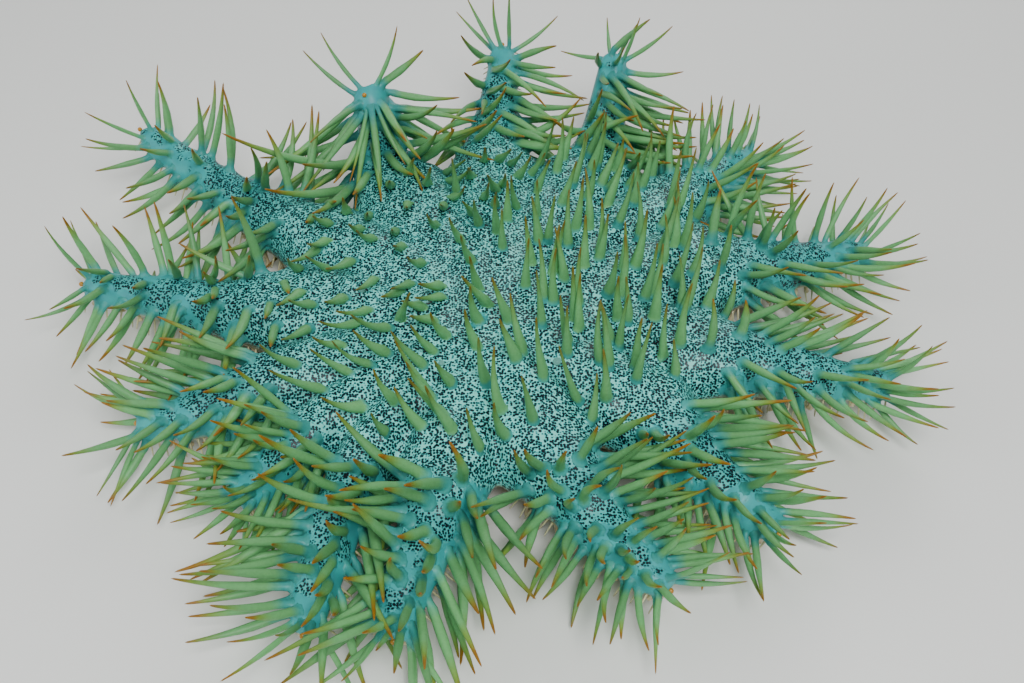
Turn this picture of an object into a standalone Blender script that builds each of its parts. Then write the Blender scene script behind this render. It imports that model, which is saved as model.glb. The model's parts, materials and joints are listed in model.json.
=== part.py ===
"""Crown-of-thorns starfish at life size: a domed disc, fourteen arms and their thorns.

The animal rests on the flat ends of its tube feet.  Lengths below are in millimetres and
angles in degrees; the finished meshes are in metres.  Z is up, the floor is Z = 0, the
front is towards -Y, and the arms are numbered counter-clockwise from the one at the right.
"""

import math
import random
from collections import namedtuple

import bmesh
import bpy
from mathutils import Vector
from mathutils.bvhtree import BVHTree

MM = 0.001
SEED = 41

# Where the middle of the disc stands, so that the whole rests centred on the origin.
DISC_X = 12.9
DISC_Y = 12.7

# Disc: height of its middle and of its rim, and the middle of the rim's thickness.
DISC_TOP = 39.0
RIM_TOP = 34.0
RIM_MIDDLE = 20.5
RIM_HALF_HEIGHT = RIM_TOP - RIM_MIDDLE
DISC_TOP_RINGS = (1.0, 0.86, 0.68, 0.46, 0.22)
DISC_FLOOR_RINGS = (1.0, 0.58, 0.18)
GROOVE_FADE = 2.6
# Where the ridges of the arms meet, above the mouth, off the middle of the disc's outline.
RIDGES_MEET = (-12.0, -26.0)
MOUTH_HEIGHT = 13.5
BELLY_HEIGHT = 9.0

# Gap between two parts that meet face to face.
PART_GAP = 0.3

# Outline of an arm across its length, as shares of its half width and half height.
SECTION_TOP = ((-1.0, 0.16), (-0.80, 0.66), (-0.45, 0.93), (0.0, 1.0),
               (0.45, 0.93), (0.80, 0.66), (1.0, 0.16))
SECTION_FLOOR = ((1.0, -0.34), (0.64, -0.84), (0.0, -0.70), (-0.64, -0.84), (-1.0, -0.34))
SECTION = SECTION_TOP + SECTION_FLOOR

# Arms: widths and heights from root to tip, and where their cross-sections stand.
ARM_HALF_WIDTH = 13.6
TIP_HALF_WIDTH = 4.9
TIP_HALF_HEIGHT = 4.8
FLARE_LENGTH = 26.0
ARM_STATIONS = (0.0, 0.07, 0.16, 0.28, 0.42, 0.57, 0.72, 0.85, 0.945)
TIP_ROUNDING = 0.90
PATH_STEPS = 60

# Each arm: its name, where its side of the disc's rim starts (angle and distance from the
# middle), its length, the turn and rise half way along and at the tip, how far its spines
# lean towards the tip (top, left and right), the sway that all of them share, their size,
# and the share of its length at which a curled arm is divided.
Arm = namedtuple("Arm", "name start reach length turn_mid rise_mid turn_tip rise_tip "
                        "lean_top lean_left lean_right sway_x sway_y sway_z "
                        "spine_size divide")
ARMS = (
    Arm("arm_01", -10.0, 75.0, 72.0, 25.0, -7.0, 14.0, 0.0,
        0.0, 0.0, 0.6, 0.0, -0.55, 0.0, 1.0, 0.0),
    Arm("arm_02", 28.0, 85.0, 56.0, 6.0, -4.0, -4.0, 4.0,
        0.2, 0.2, 0.4, 0.1, -0.20, 0.0, 0.95, 0.0),
    Arm("arm_03", 51.0, 84.0, 62.0, 14.0, 50.0, 0.0, 74.0,
        -0.6, -0.4, -0.4, 0.90, -0.60, -0.20, 1.1, 0.50),
    Arm("arm_04", 83.0, 81.0, 66.0, -25.0, 34.0, -5.0, 46.0,
        -0.6, -0.2, -0.6, 0.90, -0.60, -0.20, 1.15, 0.0),
    Arm("arm_05", 113.0, 83.0, 62.0, -54.0, 31.0, 129.0, 34.0,
        -0.9, -0.2, -0.3, 0.06, -0.45, -0.40, 1.3, 0.50),
    Arm("arm_06", 145.0, 86.0, 110.0, -22.0, -6.0, 0.0, 24.0,
        0.0, 0.3, 0.25, 0.0, -0.50, 0.0, 1.15, 0.0),
    Arm("arm_07", 172.0, 91.0, 88.0, -34.0, -8.0, -10.0, 6.0,
        0.0, 0.4, 0.1, 0.0, -0.55, 0.0, 1.1, 0.0),
    Arm("arm_08", 200.0, 93.0, 58.0, 15.0, -8.0, -25.0, -4.0,
        0.7, 0.4, 0.3, -0.20, -0.35, 0.0, 1.1, 0.0),
    Arm("arm_09", 219.0, 99.0, 38.0, 8.0, -9.0, 0.0, -5.0,
        0.4, 0.3, 0.3, -0.30, -0.20, 0.0, 1.0, 0.0),
    Arm("arm_10", 231.5, 99.0, 67.0, 18.0, -8.0, 15.0, -4.0,
        0.1, 0.2, 0.1, -0.45, -0.15, 0.0, 1.2, 0.0),
    Arm("arm_11", 244.0, 96.0, 63.0, -26.0, -7.0, 4.0, -3.0,
        0.0, 0.3, 0.0, -0.35, -0.25, 0.0, 1.2, 0.0),
    Arm("arm_12", 265.0, 90.0, 63.0, 15.0, -7.0, 19.0, -3.0,
        0.0, 0.4, 0.1, 0.0, -0.15, 0.2, 1.0, 0.0),
    Arm("arm_13", 291.0, 78.0, 62.0, 19.0, -7.0, 11.0, -3.0,
        0.2, 0.35, 0.4, 0.05, -0.35, 0.0, 1.05, 0.0),
    Arm("arm_14", 320.0, 82.0, 71.0, 6.0, -7.0, 11.0, -3.0,
        0.5, 0.5, 0.4, 0.0, -0.45, 0.0, 1.0, 0.0),
)

# Rows of spines along an arm: angle from the top, how many, first and last place along the
# arm, and length.  Every row but the one on top stands on both sides.
Row = namedtuple("Row", "angle count first last length")
ARM_ROWS = (
    Row(0.0, 2, 0.30, 0.72, 25.0),
    Row(38.0, 5, 0.14, 0.86, 30.0),
    Row(72.0, 6, 0.16, 0.90, 34.0),
    Row(106.0, 5, 0.22, 0.86, 31.0),
)
TIP_FAN_COUNT = 5
TIP_FAN_HALF = 110.0
RAISED_FAN_HALF = 160.0
RAISED_FAN_EXTRA = 3
TIP_FAN_SPREAD = 48.0
RAISED_FAN_SPREAD = 64.0
TIP_FAN_LENGTH = 23.0

# Spines of the disc.
DISC_SPINE_COUNT = 90
DISC_SPINE_REACH = 0.93
DISC_SPINE_LENGTH = 20.5
# How the spines of the disc lean (x and y) near some places on it (x and y).
DISC_LEANS = (
    (60.0, 10.0, 0.22, 0.15), (0.0, 0.0, 0.0, -0.10), (40.0, 55.0, 0.30, 0.0),
    (15.0, -60.0, -0.10, 0.0), (-15.0, -60.0, -0.35, -0.15), (-45.0, -55.0, -0.95, -0.45),
    (-50.0, -20.0, -0.95, -2.1), (-65.0, 5.0, -0.90, -2.6), (-45.0, 30.0, -0.10, -2.2),
    (-35.0, 55.0, 0.25, -1.40), (-20.0, 10.0, -0.25, -0.55),
)
DISC_LEAN_REACH = 16.0
GOLDEN_ANGLE = 137.508

# One spine: a fleshy foot sunk in the skin, widest at its shoulder, then a long taper.
SPINE_SIDES = 3
FOOT_RADIUS = 1.9
SHOULDER_RADIUS = 2.3
SHOULDER_AT = 0.30
ROOT_DEPTH = 4.0
SPINE_BEND = 7.0

# Room kept round a spine.
OTHER_PART_ROOM = 0.8
BODY_TRIALS = 26
SAME_PART_ROOM = 0.5
FLOOR_ROOM = 1.2
TRIAL_TILTS = (0.0, 9.0, 18.0, 28.0, 40.0)
TRIAL_TURNS = 8
TRIAL_LENGTHS = (1.0, 0.82, 0.66)

# Tube feet under the arms, flat at the floor.
FOOT_PLACES = (0.12, 0.62)
TUBE_OFFSET = 0.52
TUBE_SIDES = 4
TUBE_NECK_RADIUS = 1.5
TUBE_SUCKER_RADIUS = 2.4
TUBE_ROOT_DEPTH = 3.5
TUBE_LONGEST = 14.0
TUBE_ROOM_WIDTH = 1.3


def spread(rng, amount):
    """Return a factor near 1 that varies by the given share."""
    return 1.0 + rng.uniform(-amount, amount)


def rim_corner(index):
    """Return the corner of the disc's rim where an arm's side starts."""
    arm = ARMS[index % len(ARMS)]
    angle = math.radians(arm.start)
    return Vector((arm.reach * math.cos(angle), arm.reach * math.sin(angle), 0.0))


def rim_side(index):
    """Return middle, outward direction, along direction and half length of one rim side."""
    start = rim_corner(index)
    end = rim_corner(index + 1)
    along = (end - start).normalized()
    outward = Vector((along.y, -along.x, 0.0))
    return (start + end) / 2, outward, along, (end - start).length / 2


def heading(angle, rise):
    """Return the direction with the given compass angle and rise."""
    a = math.radians(angle)
    b = math.radians(rise)
    return Vector((math.cos(a) * math.cos(b), math.sin(a) * math.cos(b), math.sin(b)))


def arm_half_width(share, length, root_half):
    """Return the half width of an arm at a share of its length."""
    plain_root = min(ARM_HALF_WIDTH, root_half)
    plain = plain_root + (TIP_HALF_WIDTH - plain_root) * share
    flare = max(0.0, 1.0 - share * length / FLARE_LENGTH)
    return plain + (root_half - plain_root) * flare * flare


def arm_half_height(share):
    """Return the half height of an arm at a share of its length."""
    return RIM_HALF_HEIGHT + (TIP_HALF_HEIGHT - RIM_HALF_HEIGHT) * share ** 1.1


def tip_closing(share):
    """Return how far the arm's rounded end has closed in at a share of its length."""
    past = max(0.0, share - TIP_ROUNDING) / (1.0 - TIP_ROUNDING)
    return math.sqrt(max(0.0, 1.0 - past * past))


Frame = namedtuple("Frame", "centre forward up side half_width half_height")


def arm_path(index):
    """Return frames from root to tip along the middle line of one arm."""
    arm = ARMS[index]
    middle, outward, along, half_side = rim_side(index)
    base = math.degrees(math.atan2(outward.y, outward.x))
    start = heading(base, 0.0)
    middle_way = heading(base + arm.turn_mid, arm.rise_mid)
    end = heading(base + arm.turn_tip, arm.rise_tip)
    centre = middle + outward * PART_GAP + Vector((0.0, 0.0, RIM_MIDDLE))
    up = Vector((0.0, 0.0, 1.0))
    frames = []
    for step in range(PATH_STEPS + 1):
        share = step / PATH_STEPS
        forward = (start * (1 - share) ** 2 + middle_way * (2 * share * (1 - share))
                   + end * share ** 2).normalized()
        if step:
            centre = centre + forward * (arm.length / PATH_STEPS)
        up = (up - forward * up.dot(forward)).normalized()
        side = forward.cross(up)
        closing = tip_closing(share)
        half_width = arm_half_width(share, arm.length, half_side - PART_GAP) * closing
        frames.append(Frame(centre, forward, up, side, half_width,
                            arm_half_height(share) * closing))
    return frames


def frame_at(frames, share):
    """Return the frame nearest to a share of the arm's length."""
    return frames[round(share * (len(frames) - 1))]


def section_ring(frame, offset=0.0):
    """Return the twelve points of one cross-section."""
    centre = frame.centre + frame.forward * offset
    return [centre + frame.side * (u * frame.half_width) + frame.up * (v * frame.half_height)
            for u, v in SECTION]


def loft(rings, apex=None):
    """Return points and faces of a closed tube through rings of equal count."""
    points = [point for ring in rings for point in ring]
    count = len(rings[0])
    faces = [tuple(reversed(range(count)))]
    for level in range(len(rings) - 1):
        low = level * count
        for i in range(count):
            j = (i + 1) % count
            faces.append((low + i, low + j, low + count + j, low + count + i))
    last = (len(rings) - 1) * count
    if apex is None:
        faces.append(tuple(range(last, last + count)))
    else:
        points.append(apex)
        for i in range(count):
            faces.append((last + i, last + (i + 1) % count, len(points) - 1))
    return points, faces


def arm_bodies(index):
    """Return one or two named bodies that make up one arm."""
    arm = ARMS[index]
    frames = arm_path(index)
    tip = frames[-1].centre
    if not arm.divide:
        rings = [section_ring(frame_at(frames, share)) for share in ARM_STATIONS]
        return [(arm.name, loft(rings, tip))]
    cut = frame_at(frames, arm.divide)
    near = [section_ring(frame_at(frames, s)) for s in ARM_STATIONS if s < arm.divide - 0.04]
    far = [section_ring(frame_at(frames, s)) for s in ARM_STATIONS if s > arm.divide + 0.04]
    near.append(section_ring(cut))
    far.insert(0, section_ring(cut, PART_GAP))
    return [(arm.name + "_base", loft(near)), (arm.name + "_end", loft(far, tip))]


def inward(place, scale, height):
    """Return a rim point drawn in towards the place where the ridges meet."""
    x, y = RIDGES_MEET
    return Vector((x + (place.x - x) * scale, y + (place.y - y) * scale, height))


def disc_body():
    """Return points and faces of the domed disc with one flat side for each arm."""
    points = []
    faces = []
    top_rim = []
    floor_rim = []
    for index in range(len(ARMS)):
        middle, _, along, half_side = rim_side(index)
        top_rim += [(middle + along * (u * half_side), v) for u, v in SECTION_TOP[:-1]]
        floor_rim += [(middle - along * (u * half_side), v) for u, v in SECTION_FLOOR[:-1]]
    rise = DISC_TOP - RIM_TOP
    for scale in DISC_TOP_RINGS:
        dome = RIM_TOP + rise * (1.0 - scale * scale)
        fade = scale ** GROOVE_FADE
        for place, v in top_rim:
            drop = (1.0 - v) * RIM_HALF_HEIGHT * fade
            points.append(inward(place, scale, dome - drop))
    floor_start = len(points)
    for scale in DISC_FLOOR_RINGS:
        for place, v in floor_rim:
            rim = RIM_MIDDLE + v * RIM_HALF_HEIGHT
            height = BELLY_HEIGHT + (rim - BELLY_HEIGHT) * scale ** GROOVE_FADE
            points.append(inward(place, scale, height))
    top_count = len(top_rim)
    floor_count = len(floor_rim)
    for ring in range(len(DISC_TOP_RINGS) - 1):
        low = ring * top_count
        for i in range(top_count):
            j = (i + 1) % top_count
            faces.append((low + i, low + j, low + top_count + j, low + top_count + i))
    for ring in range(len(DISC_FLOOR_RINGS) - 1):
        low = floor_start + ring * floor_count
        for i in range(floor_count):
            j = (i + 1) % floor_count
            faces.append((low + i, low + j, low + floor_count + j, low + floor_count + i))
    points.append(Vector(RIDGES_MEET + (DISC_TOP,)))
    inner = (len(DISC_TOP_RINGS) - 1) * top_count
    for i in range(top_count):
        faces.append((inner + i, inner + (i + 1) % top_count, len(points) - 1))
    points.append(Vector(RIDGES_MEET + (MOUTH_HEIGHT,)))
    inner = floor_start + (len(DISC_FLOOR_RINGS) - 1) * floor_count
    for i in range(floor_count):
        faces.append((inner + i, inner + (i + 1) % floor_count, len(points) - 1))
    for index in range(len(ARMS)):
        top = [(6 * index + i) % top_count for i in range(7)]
        low = [floor_start + (4 * index + i) % floor_count for i in range(5)]
        faces.append(tuple(top) + tuple(reversed(low)))
    return points, faces


def closed_mesh(points, faces):
    """Return a triangulated bmesh with its faces turned outward."""
    mesh = bmesh.new()
    corners = [mesh.verts.new(point) for point in points]
    for face in faces:
        mesh.faces.new([corners[i] for i in face])
    bmesh.ops.recalc_face_normals(mesh, faces=mesh.faces)
    bmesh.ops.triangulate(mesh, faces=mesh.faces)
    return mesh


Spine = namedtuple("Spine", "root way bent length width depth")


def spine_radius(spine, share):
    """Return the radius of a spine at a share of its length from the skin."""
    if share < SHOULDER_AT:
        blend = max(share, 0.0) / SHOULDER_AT
        return spine.width * (FOOT_RADIUS + (SHOULDER_RADIUS - FOOT_RADIUS) * blend)
    return spine.width * SHOULDER_RADIUS * (1.0 - share) / (1.0 - SHOULDER_AT)


def spine_point(spine, share):
    """Return the point on a spine's middle line at a share of its length."""
    shoulder = spine.root + spine.way * (spine.length * SHOULDER_AT)
    if share <= SHOULDER_AT:
        return spine.root + spine.way * (spine.length * share)
    return shoulder + spine.bent * (spine.length * (share - SHOULDER_AT))


def segment_distance(a, b, c, d):
    """Return the distance between two segments and the shares where they come closest."""
    u = b - a
    v = d - c
    w = a - c
    uu = u.dot(u)
    uv = u.dot(v)
    vv = v.dot(v)
    uw = u.dot(w)
    vw = v.dot(w)
    det = uu * vv - uv * uv
    s = 0.0 if det < 1e-9 else min(1.0, max(0.0, (uv * vw - vv * uw) / det))
    t = (uv * s + vw) / vv
    if t < 0.0:
        t = 0.0
        s = min(1.0, max(0.0, -uw / uu))
    elif t > 1.0:
        t = 1.0
        s = min(1.0, max(0.0, (uv - uw) / uu))
    return ((a + u * s) - (c + v * t)).length, s, t


def spine_gap(first, second):
    """Return the clear room between two spines."""
    best = 1e9
    for low, high in ((-0.08, SHOULDER_AT), (SHOULDER_AT, 1.0)):
        a = spine_point(first, low)
        b = spine_point(first, high)
        for low2, high2 in ((-0.08, SHOULDER_AT), (SHOULDER_AT, 1.0)):
            c = spine_point(second, low2)
            d = spine_point(second, high2)
            apart, s, t = segment_distance(a, b, c, d)
            apart -= spine_radius(first, low + (high - low) * s)
            apart -= spine_radius(second, low2 + (high2 - low2) * t)
            best = min(best, apart)
    return best


class Thicket:
    """Keeps every body and every spine set so far, and finds each new spine its room."""

    def __init__(self, bodies):
        self.trees = {name: BVHTree.FromPolygons(points, faces)
                      for name, (points, faces) in bodies.items()}
        self.spines = []

    def surface(self, name, origin, way):
        """Return the outermost point and normal of a body along a ray from inside it."""
        place, normal, _, _ = self.trees[name].ray_cast(origin, way)
        return place, normal

    def depth_under(self, name, root, way):
        """Return how thick the body is below a root."""
        far, _, _, _ = self.trees[name].ray_cast(root - way * 0.3, -way)
        return (far - root).length if far else 0.0

    def clear_of_bodies(self, name, spine):
        """Say whether a spine keeps its room to every body and to the floor."""
        samples = [(-spine.depth / spine.length, 0.0), (0.0, 0.0)]
        samples += [(step / BODY_TRIALS, step / BODY_TRIALS)
                    for step in range(1, BODY_TRIALS + 1)]
        for share, own in samples:
            point = spine_point(spine, share)
            radius = spine_radius(spine, share)
            if own > 0.1 and point.z - radius < FLOOR_ROOM:
                return False
            for other, tree in self.trees.items():
                if other == name:
                    if own < 0.4:
                        continue
                    room = radius + SAME_PART_ROOM
                else:
                    room = radius + OTHER_PART_ROOM
                if tree.find_nearest(point, room)[0] is not None:
                    return False
        return True

    def clear_of_spines(self, name, spine):
        """Say whether a spine keeps its room to every spine set before it."""
        middle = spine_point(spine, 0.5)
        for owner, other, other_middle in self.spines:
            reach = (spine.length + other.length) / 2 + 6.0
            if (middle - other_middle).length > reach:
                continue
            room = SAME_PART_ROOM if owner == name else OTHER_PART_ROOM
            if spine_gap(spine, other) < room:
                return False
        return True

    def settle(self, name, root, normal, way, length, width, bend_way):
        """Set one spine, tilted or shortened until it is clear; return it or None."""
        for share in TRIAL_LENGTHS:
            for tilt in TRIAL_TILTS:
                turns = TRIAL_TURNS if tilt else 1
                for turn in range(turns):
                    tried = tilted(way, tilt, 360.0 * turn / turns)
                    if tried.dot(normal) < 0.35:
                        continue
                    bent = tilted_towards(tried, bend_way, SPINE_BEND)
                    depth = min(ROOT_DEPTH, 0.45 * self.depth_under(name, root, tried))
                    if depth < 1.2:
                        continue
                    spine = Spine(root, tried, bent, length * share, width, depth)
                    if not self.clear_of_bodies(name, spine):
                        continue
                    if self.clear_of_spines(name, spine):
                        self.spines.append((name, spine, spine_point(spine, 0.5)))
                        return spine
        return None


def tilted(way, tilt, turn):
    """Return a direction tilted by an angle towards a side chosen by a turn."""
    if not tilt:
        return way
    across = way.orthogonal().normalized()
    other = way.cross(across)
    a = math.radians(turn)
    t = math.radians(tilt)
    lean = across * math.cos(a) + other * math.sin(a)
    return (way * math.cos(t) + lean * math.sin(t)).normalized()


def tilted_towards(way, target, tilt):
    """Return a direction tilted by an angle towards another direction."""
    lean = target - way * target.dot(way)
    if lean.length < 0.05:
        return way
    t = math.radians(tilt)
    return (way * math.cos(t) + lean.normalized() * math.sin(t)).normalized()


def spine_mesh(spine, twist):
    """Return points and faces of one spine: sunk foot, shoulder and point."""
    rings = []
    shoulder = spine_point(spine, SHOULDER_AT)
    foot = spine.root - spine.way * spine.depth
    for centre, radius in ((foot, FOOT_RADIUS * 0.9), (shoulder, SHOULDER_RADIUS)):
        across = spine.way.orthogonal().normalized()
        other = spine.way.cross(across)
        ring = []
        for side in range(SPINE_SIDES):
            angle = twist + 2 * math.pi * side / SPINE_SIDES
            lean = across * math.cos(angle) + other * math.sin(angle)
            ring.append(centre + lean * (radius * spine.width))
        rings.append(ring)
    return loft(rings, spine_point(spine, 1.0))


def tube_foot_mesh(root):
    """Return points and faces of one tube foot standing flat on the floor."""
    rings = []
    for height, radius in ((root.z + TUBE_ROOT_DEPTH, TUBE_NECK_RADIUS),
                           (0.0, TUBE_SUCKER_RADIUS)):
        ring = []
        for side in range(TUBE_SIDES):
            angle = 2 * math.pi * side / TUBE_SIDES
            ring.append(Vector((root.x + radius * math.cos(angle),
                                root.y + radius * math.sin(angle), height)))
        rings.append(ring)
    return loft(rings)


def arm_tube_feet(index, thicket, nodes):
    """Place the tube feet of an arm where it lies low enough to reach the floor."""
    arm = ARMS[index]
    frames = arm_path(index)
    down = Vector((0.0, 0.0, -1.0))
    gained = {name: [] for name in nodes}
    for share in FOOT_PLACES:
        frame = frame_at(frames, share)
        name = nodes[0]
        if len(nodes) > 1 and share > arm.divide:
            name = nodes[1]
        for side in (-1.0, 1.0):
            reach = frame.centre + frame.side * (side * TUBE_OFFSET * frame.half_width)
            root, _ = thicket.surface(name, Vector((reach.x, reach.y, -5.0)), -down)
            if root is None or root.z > TUBE_LONGEST:
                continue
            taken = Spine(root, down, down, root.z * 2.0, TUBE_ROOM_WIDTH, 0.0)
            thicket.spines.append((name, taken, spine_point(taken, 0.5)))
            gained[name].append(root)
    return gained


def arm_spines(index, thicket, nodes, rows, fan_count, seed):
    """Set the spines of one arm and return those of each node with their twists."""
    arm = ARMS[index]
    rng = random.Random(seed + index)
    frames = arm_path(index)
    sway = Vector((arm.sway_x, arm.sway_y, arm.sway_z))
    gained = {name: [] for name in nodes}
    for row in rows:
        sides = (1.0,) if row.angle == 0.0 else (1.0, -1.0)
        for side in sides:
            for place in range(row.count):
                step = (row.last - row.first) / max(1, row.count - 1)
                offset = 0.25 * step * side if row.angle == 38.0 else 0.0
                share = row.first + step * place + offset + rng.uniform(-0.18, 0.18) * step
                share = min(row.last, max(row.first, share))
                angle = math.radians(row.angle * side + rng.uniform(-5.0, 5.0))
                frame = frame_at(frames, share)
                out = frame.up * math.cos(angle) + frame.side * math.sin(angle)
                name = nodes[0]
                if len(nodes) > 1 and share > arm.divide:
                    name = nodes[1]
                root, normal = thicket.surface(name, frame.centre, out)
                if root is None:
                    continue
                aside = abs(math.sin(angle))
                own = arm.lean_right if angle > 0.0 else arm.lean_left
                lean = arm.lean_top * (1.0 - aside) + own * aside + 0.55 * share ** 3
                way = normal * 0.4 + out * 0.4 + frame.forward * lean + sway
                way = (way + random_lean(rng, 0.16)).normalized()
                length = row.length * arm.spine_size * (1.0 - 0.22 * share) * spread(rng, 0.14)
                width = (0.92 + 0.14 * rng.random() - 0.22 * share) * arm.spine_size
                bend = Vector((0.0, 0.0, 1.0)) + frame.forward * 0.4
                spine = thicket.settle(name, root, normal, way, length, width, bend)
                if spine:
                    gained[name].append((spine, rng.uniform(0.0, math.pi)))
    name = nodes[-1]
    frame = frame_at(frames, 0.90)
    fan_half = RAISED_FAN_HALF if arm.divide else TIP_FAN_HALF
    tilt = math.radians(RAISED_FAN_SPREAD if arm.divide else TIP_FAN_SPREAD)
    if arm.divide:
        fan_count += RAISED_FAN_EXTRA
    for place in range(fan_count):
        angle = math.radians(fan_half * (2.0 * place / (fan_count - 1) - 1.0))
        out = frame.up * math.cos(angle) + frame.side * math.sin(angle)
        way = (frame.forward * math.cos(tilt) + out * math.sin(tilt)).normalized()
        root, normal = thicket.surface(name, frame.centre, way)
        if root is None:
            continue
        length = TIP_FAN_LENGTH * arm.spine_size * spread(rng, 0.08)
        spine = thicket.settle(name, root, normal, way, length, 0.62, Vector((0.0, 0.0, 1.0)))
        if spine:
            gained[name].append((spine, rng.uniform(0.0, math.pi)))
    return gained


def random_lean(rng, amount):
    """Return a small vector in a random direction."""
    return Vector((rng.uniform(-amount, amount), rng.uniform(-amount, amount),
                   rng.uniform(-amount, amount)))


def rim_reach(angle):
    """Return the distance from the middle to the rim at a compass angle in radians."""
    way = Vector((math.cos(angle), math.sin(angle), 0.0))
    best = 1e9
    for index in range(len(ARMS)):
        middle, outward, _, _ = rim_side(index)
        facing = outward.dot(way)
        if facing > 0.05:
            best = min(best, middle.dot(outward) / facing)
    return best


def disc_lean(x, y):
    """Return how the spines lean at a place on the disc."""
    total = 0.0
    lean = Vector((0.0, 0.0, 0.0))
    for place_x, place_y, lean_x, lean_y in DISC_LEANS:
        apart = math.hypot(x - place_x, y - place_y) / DISC_LEAN_REACH
        weight = math.exp(-apart * apart / 2) + 1e-6
        total += weight
        lean += Vector((lean_x, lean_y, 0.0)) * weight
    return lean / total


def disc_spines(thicket, count, seed):
    """Set the spines of the disc and return them with their twists."""
    rng = random.Random(seed)
    spines = []
    for place in range(count):
        angle = math.radians((place * GOLDEN_ANGLE) % 360.0)
        share = math.sqrt((place + 0.6) / count) * DISC_SPINE_REACH
        reach = rim_reach(angle) * share
        x = reach * math.cos(angle) + rng.uniform(-2.8, 2.8)
        y = reach * math.sin(angle) + rng.uniform(-2.8, 2.8)
        start = Vector((x, y, DISC_TOP + 20.0))
        root, normal = thicket.surface("disc", start, Vector((0.0, 0.0, -1.0)))
        if root is None:
            continue
        way = Vector((0.0, 0.0, 1.0)) + disc_lean(x, y) + random_lean(rng, 0.14)
        way.normalize()
        length = DISC_SPINE_LENGTH * (1.0 + 0.18 * share) * spread(rng, 0.18)
        bend = Vector((0.0, 0.3, 1.0))
        width = 0.98 + 0.2 * rng.random()
        spine = thicket.settle("disc", root, normal, way, length, width, bend)
        if spine:
            spines.append((spine, rng.uniform(0.0, math.pi)))
    return spines


def all_bodies():
    """Return the bodies by name and the names of the nodes of each arm."""
    bodies = {"disc": disc_body()}
    arm_nodes = []
    for index in range(len(ARMS)):
        parts = arm_bodies(index)
        arm_nodes.append([name for name, _ in parts])
        bodies.update(parts)
    return bodies, arm_nodes


def set_all(thicket, arm_nodes):
    """Set all tube feet and spines and return them by node."""
    feet = {"disc": []}
    for index, nodes in enumerate(arm_nodes):
        feet.update(arm_tube_feet(index, thicket, nodes))
    spines = {}
    for index, nodes in enumerate(arm_nodes):
        spines.update(arm_spines(index, thicket, nodes, ARM_ROWS, TIP_FAN_COUNT, SEED))
    spines["disc"] = disc_spines(thicket, DISC_SPINE_COUNT, SEED)
    return spines, feet


def material(name, colour, roughness, coat):
    """Return a plain material with the given look."""
    made = bpy.data.materials.new(name)
    made.use_nodes = True
    shader = made.node_tree.nodes["Principled BSDF"]
    shader.inputs["Base Color"].default_value = (*colour, 1.0)
    shader.inputs["Roughness"].default_value = roughness
    shader.inputs["Metallic"].default_value = 0.0
    shader.inputs["Coat Weight"].default_value = coat
    return made


def scene_object(name, mesh, holder, shift):
    """Return a scene object made from a bmesh in millimetres."""
    for corner in mesh.verts:
        corner.co = (corner.co + shift) * MM
    data = bpy.data.meshes.new(name)
    mesh.to_mesh(data)
    mesh.free()
    made = bpy.data.objects.new(name, data)
    holder.objects.link(made)
    return made


def largest_body(made):
    """Keep only the largest closed surface of an object."""
    mesh = bmesh.new()
    mesh.from_mesh(made.data)
    bmesh.ops.triangulate(mesh, faces=mesh.faces)
    left = set(mesh.faces)
    bodies = []
    while left:
        body = {left.pop()}
        edge = list(body)
        while edge:
            face = edge.pop()
            for line in face.edges:
                for other in line.link_faces:
                    if other in left:
                        left.discard(other)
                        body.add(other)
                        edge.append(other)
        bodies.append(body)
    bodies.sort(key=len)
    for body in bodies[:-1]:
        bmesh.ops.delete(mesh, geom=list(body), context="FACES")
    loose = [corner for corner in mesh.verts if not corner.link_faces]
    bmesh.ops.delete(mesh, geom=loose, context="VERTS")
    mesh.to_mesh(made.data)
    mesh.free()


def joined(name, body, pieces, look):
    """Return one object: a body with its pieces fused on."""
    shift = Vector((DISC_X, DISC_Y, 0.0))
    scene = bpy.context.scene.collection
    made = scene_object(name, closed_mesh(*body), scene, shift)
    if pieces:
        group = bpy.data.collections.new(name + "_pieces")
        scene.children.link(group)
        for number, piece in enumerate(pieces):
            scene_object(f"{name}_piece_{number}", closed_mesh(*piece), group, shift)
        union = made.modifiers.new("Union", "BOOLEAN")
        union.operation = "UNION"
        union.solver = "EXACT"
        union.operand_type = "COLLECTION"
        union.collection = group
        bpy.context.view_layer.objects.active = made
        bpy.ops.object.modifier_apply(modifier=union.name)
        for piece in list(group.objects):
            bpy.data.objects.remove(piece, do_unlink=True)
        bpy.data.collections.remove(group)
    largest_body(made)
    made.data.materials.clear()
    made.data.materials.append(look)
    return made


def main():
    for old in list(bpy.data.objects):
        bpy.data.objects.remove(old, do_unlink=True)
    bodies, arm_nodes = all_bodies()
    spines, feet = set_all(Thicket(bodies), arm_nodes)
    disc_look = material("disc skin", (0.20, 0.42, 0.45), 0.5, 0.2)
    arm_look = material("arm skin", (0.19, 0.40, 0.40), 0.5, 0.2)
    for name, body in bodies.items():
        pieces = [spine_mesh(*each) for each in spines[name]]
        pieces += [tube_foot_mesh(root) for root in feet[name]]
        joined(name, body, pieces, disc_look if name == "disc" else arm_look)


main()
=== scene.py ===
"""Crown-of-thorns starfish: the finish of every surface, laid over the frame of its solids.

One unbroken skin covers the disc and the fourteen arms.  Thorns, tube feet, mouth spines,
eye spots and sieve plates are pieces of their own on it.  Lengths in the tables below are
in millimetres and angles in degrees; the meshes are in metres.
"""

import json
import math
import random
from collections import namedtuple

import bpy
import numpy as np
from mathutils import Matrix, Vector
from mathutils.bvhtree import BVHTree
from mathutils.kdtree import KDTree

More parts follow.
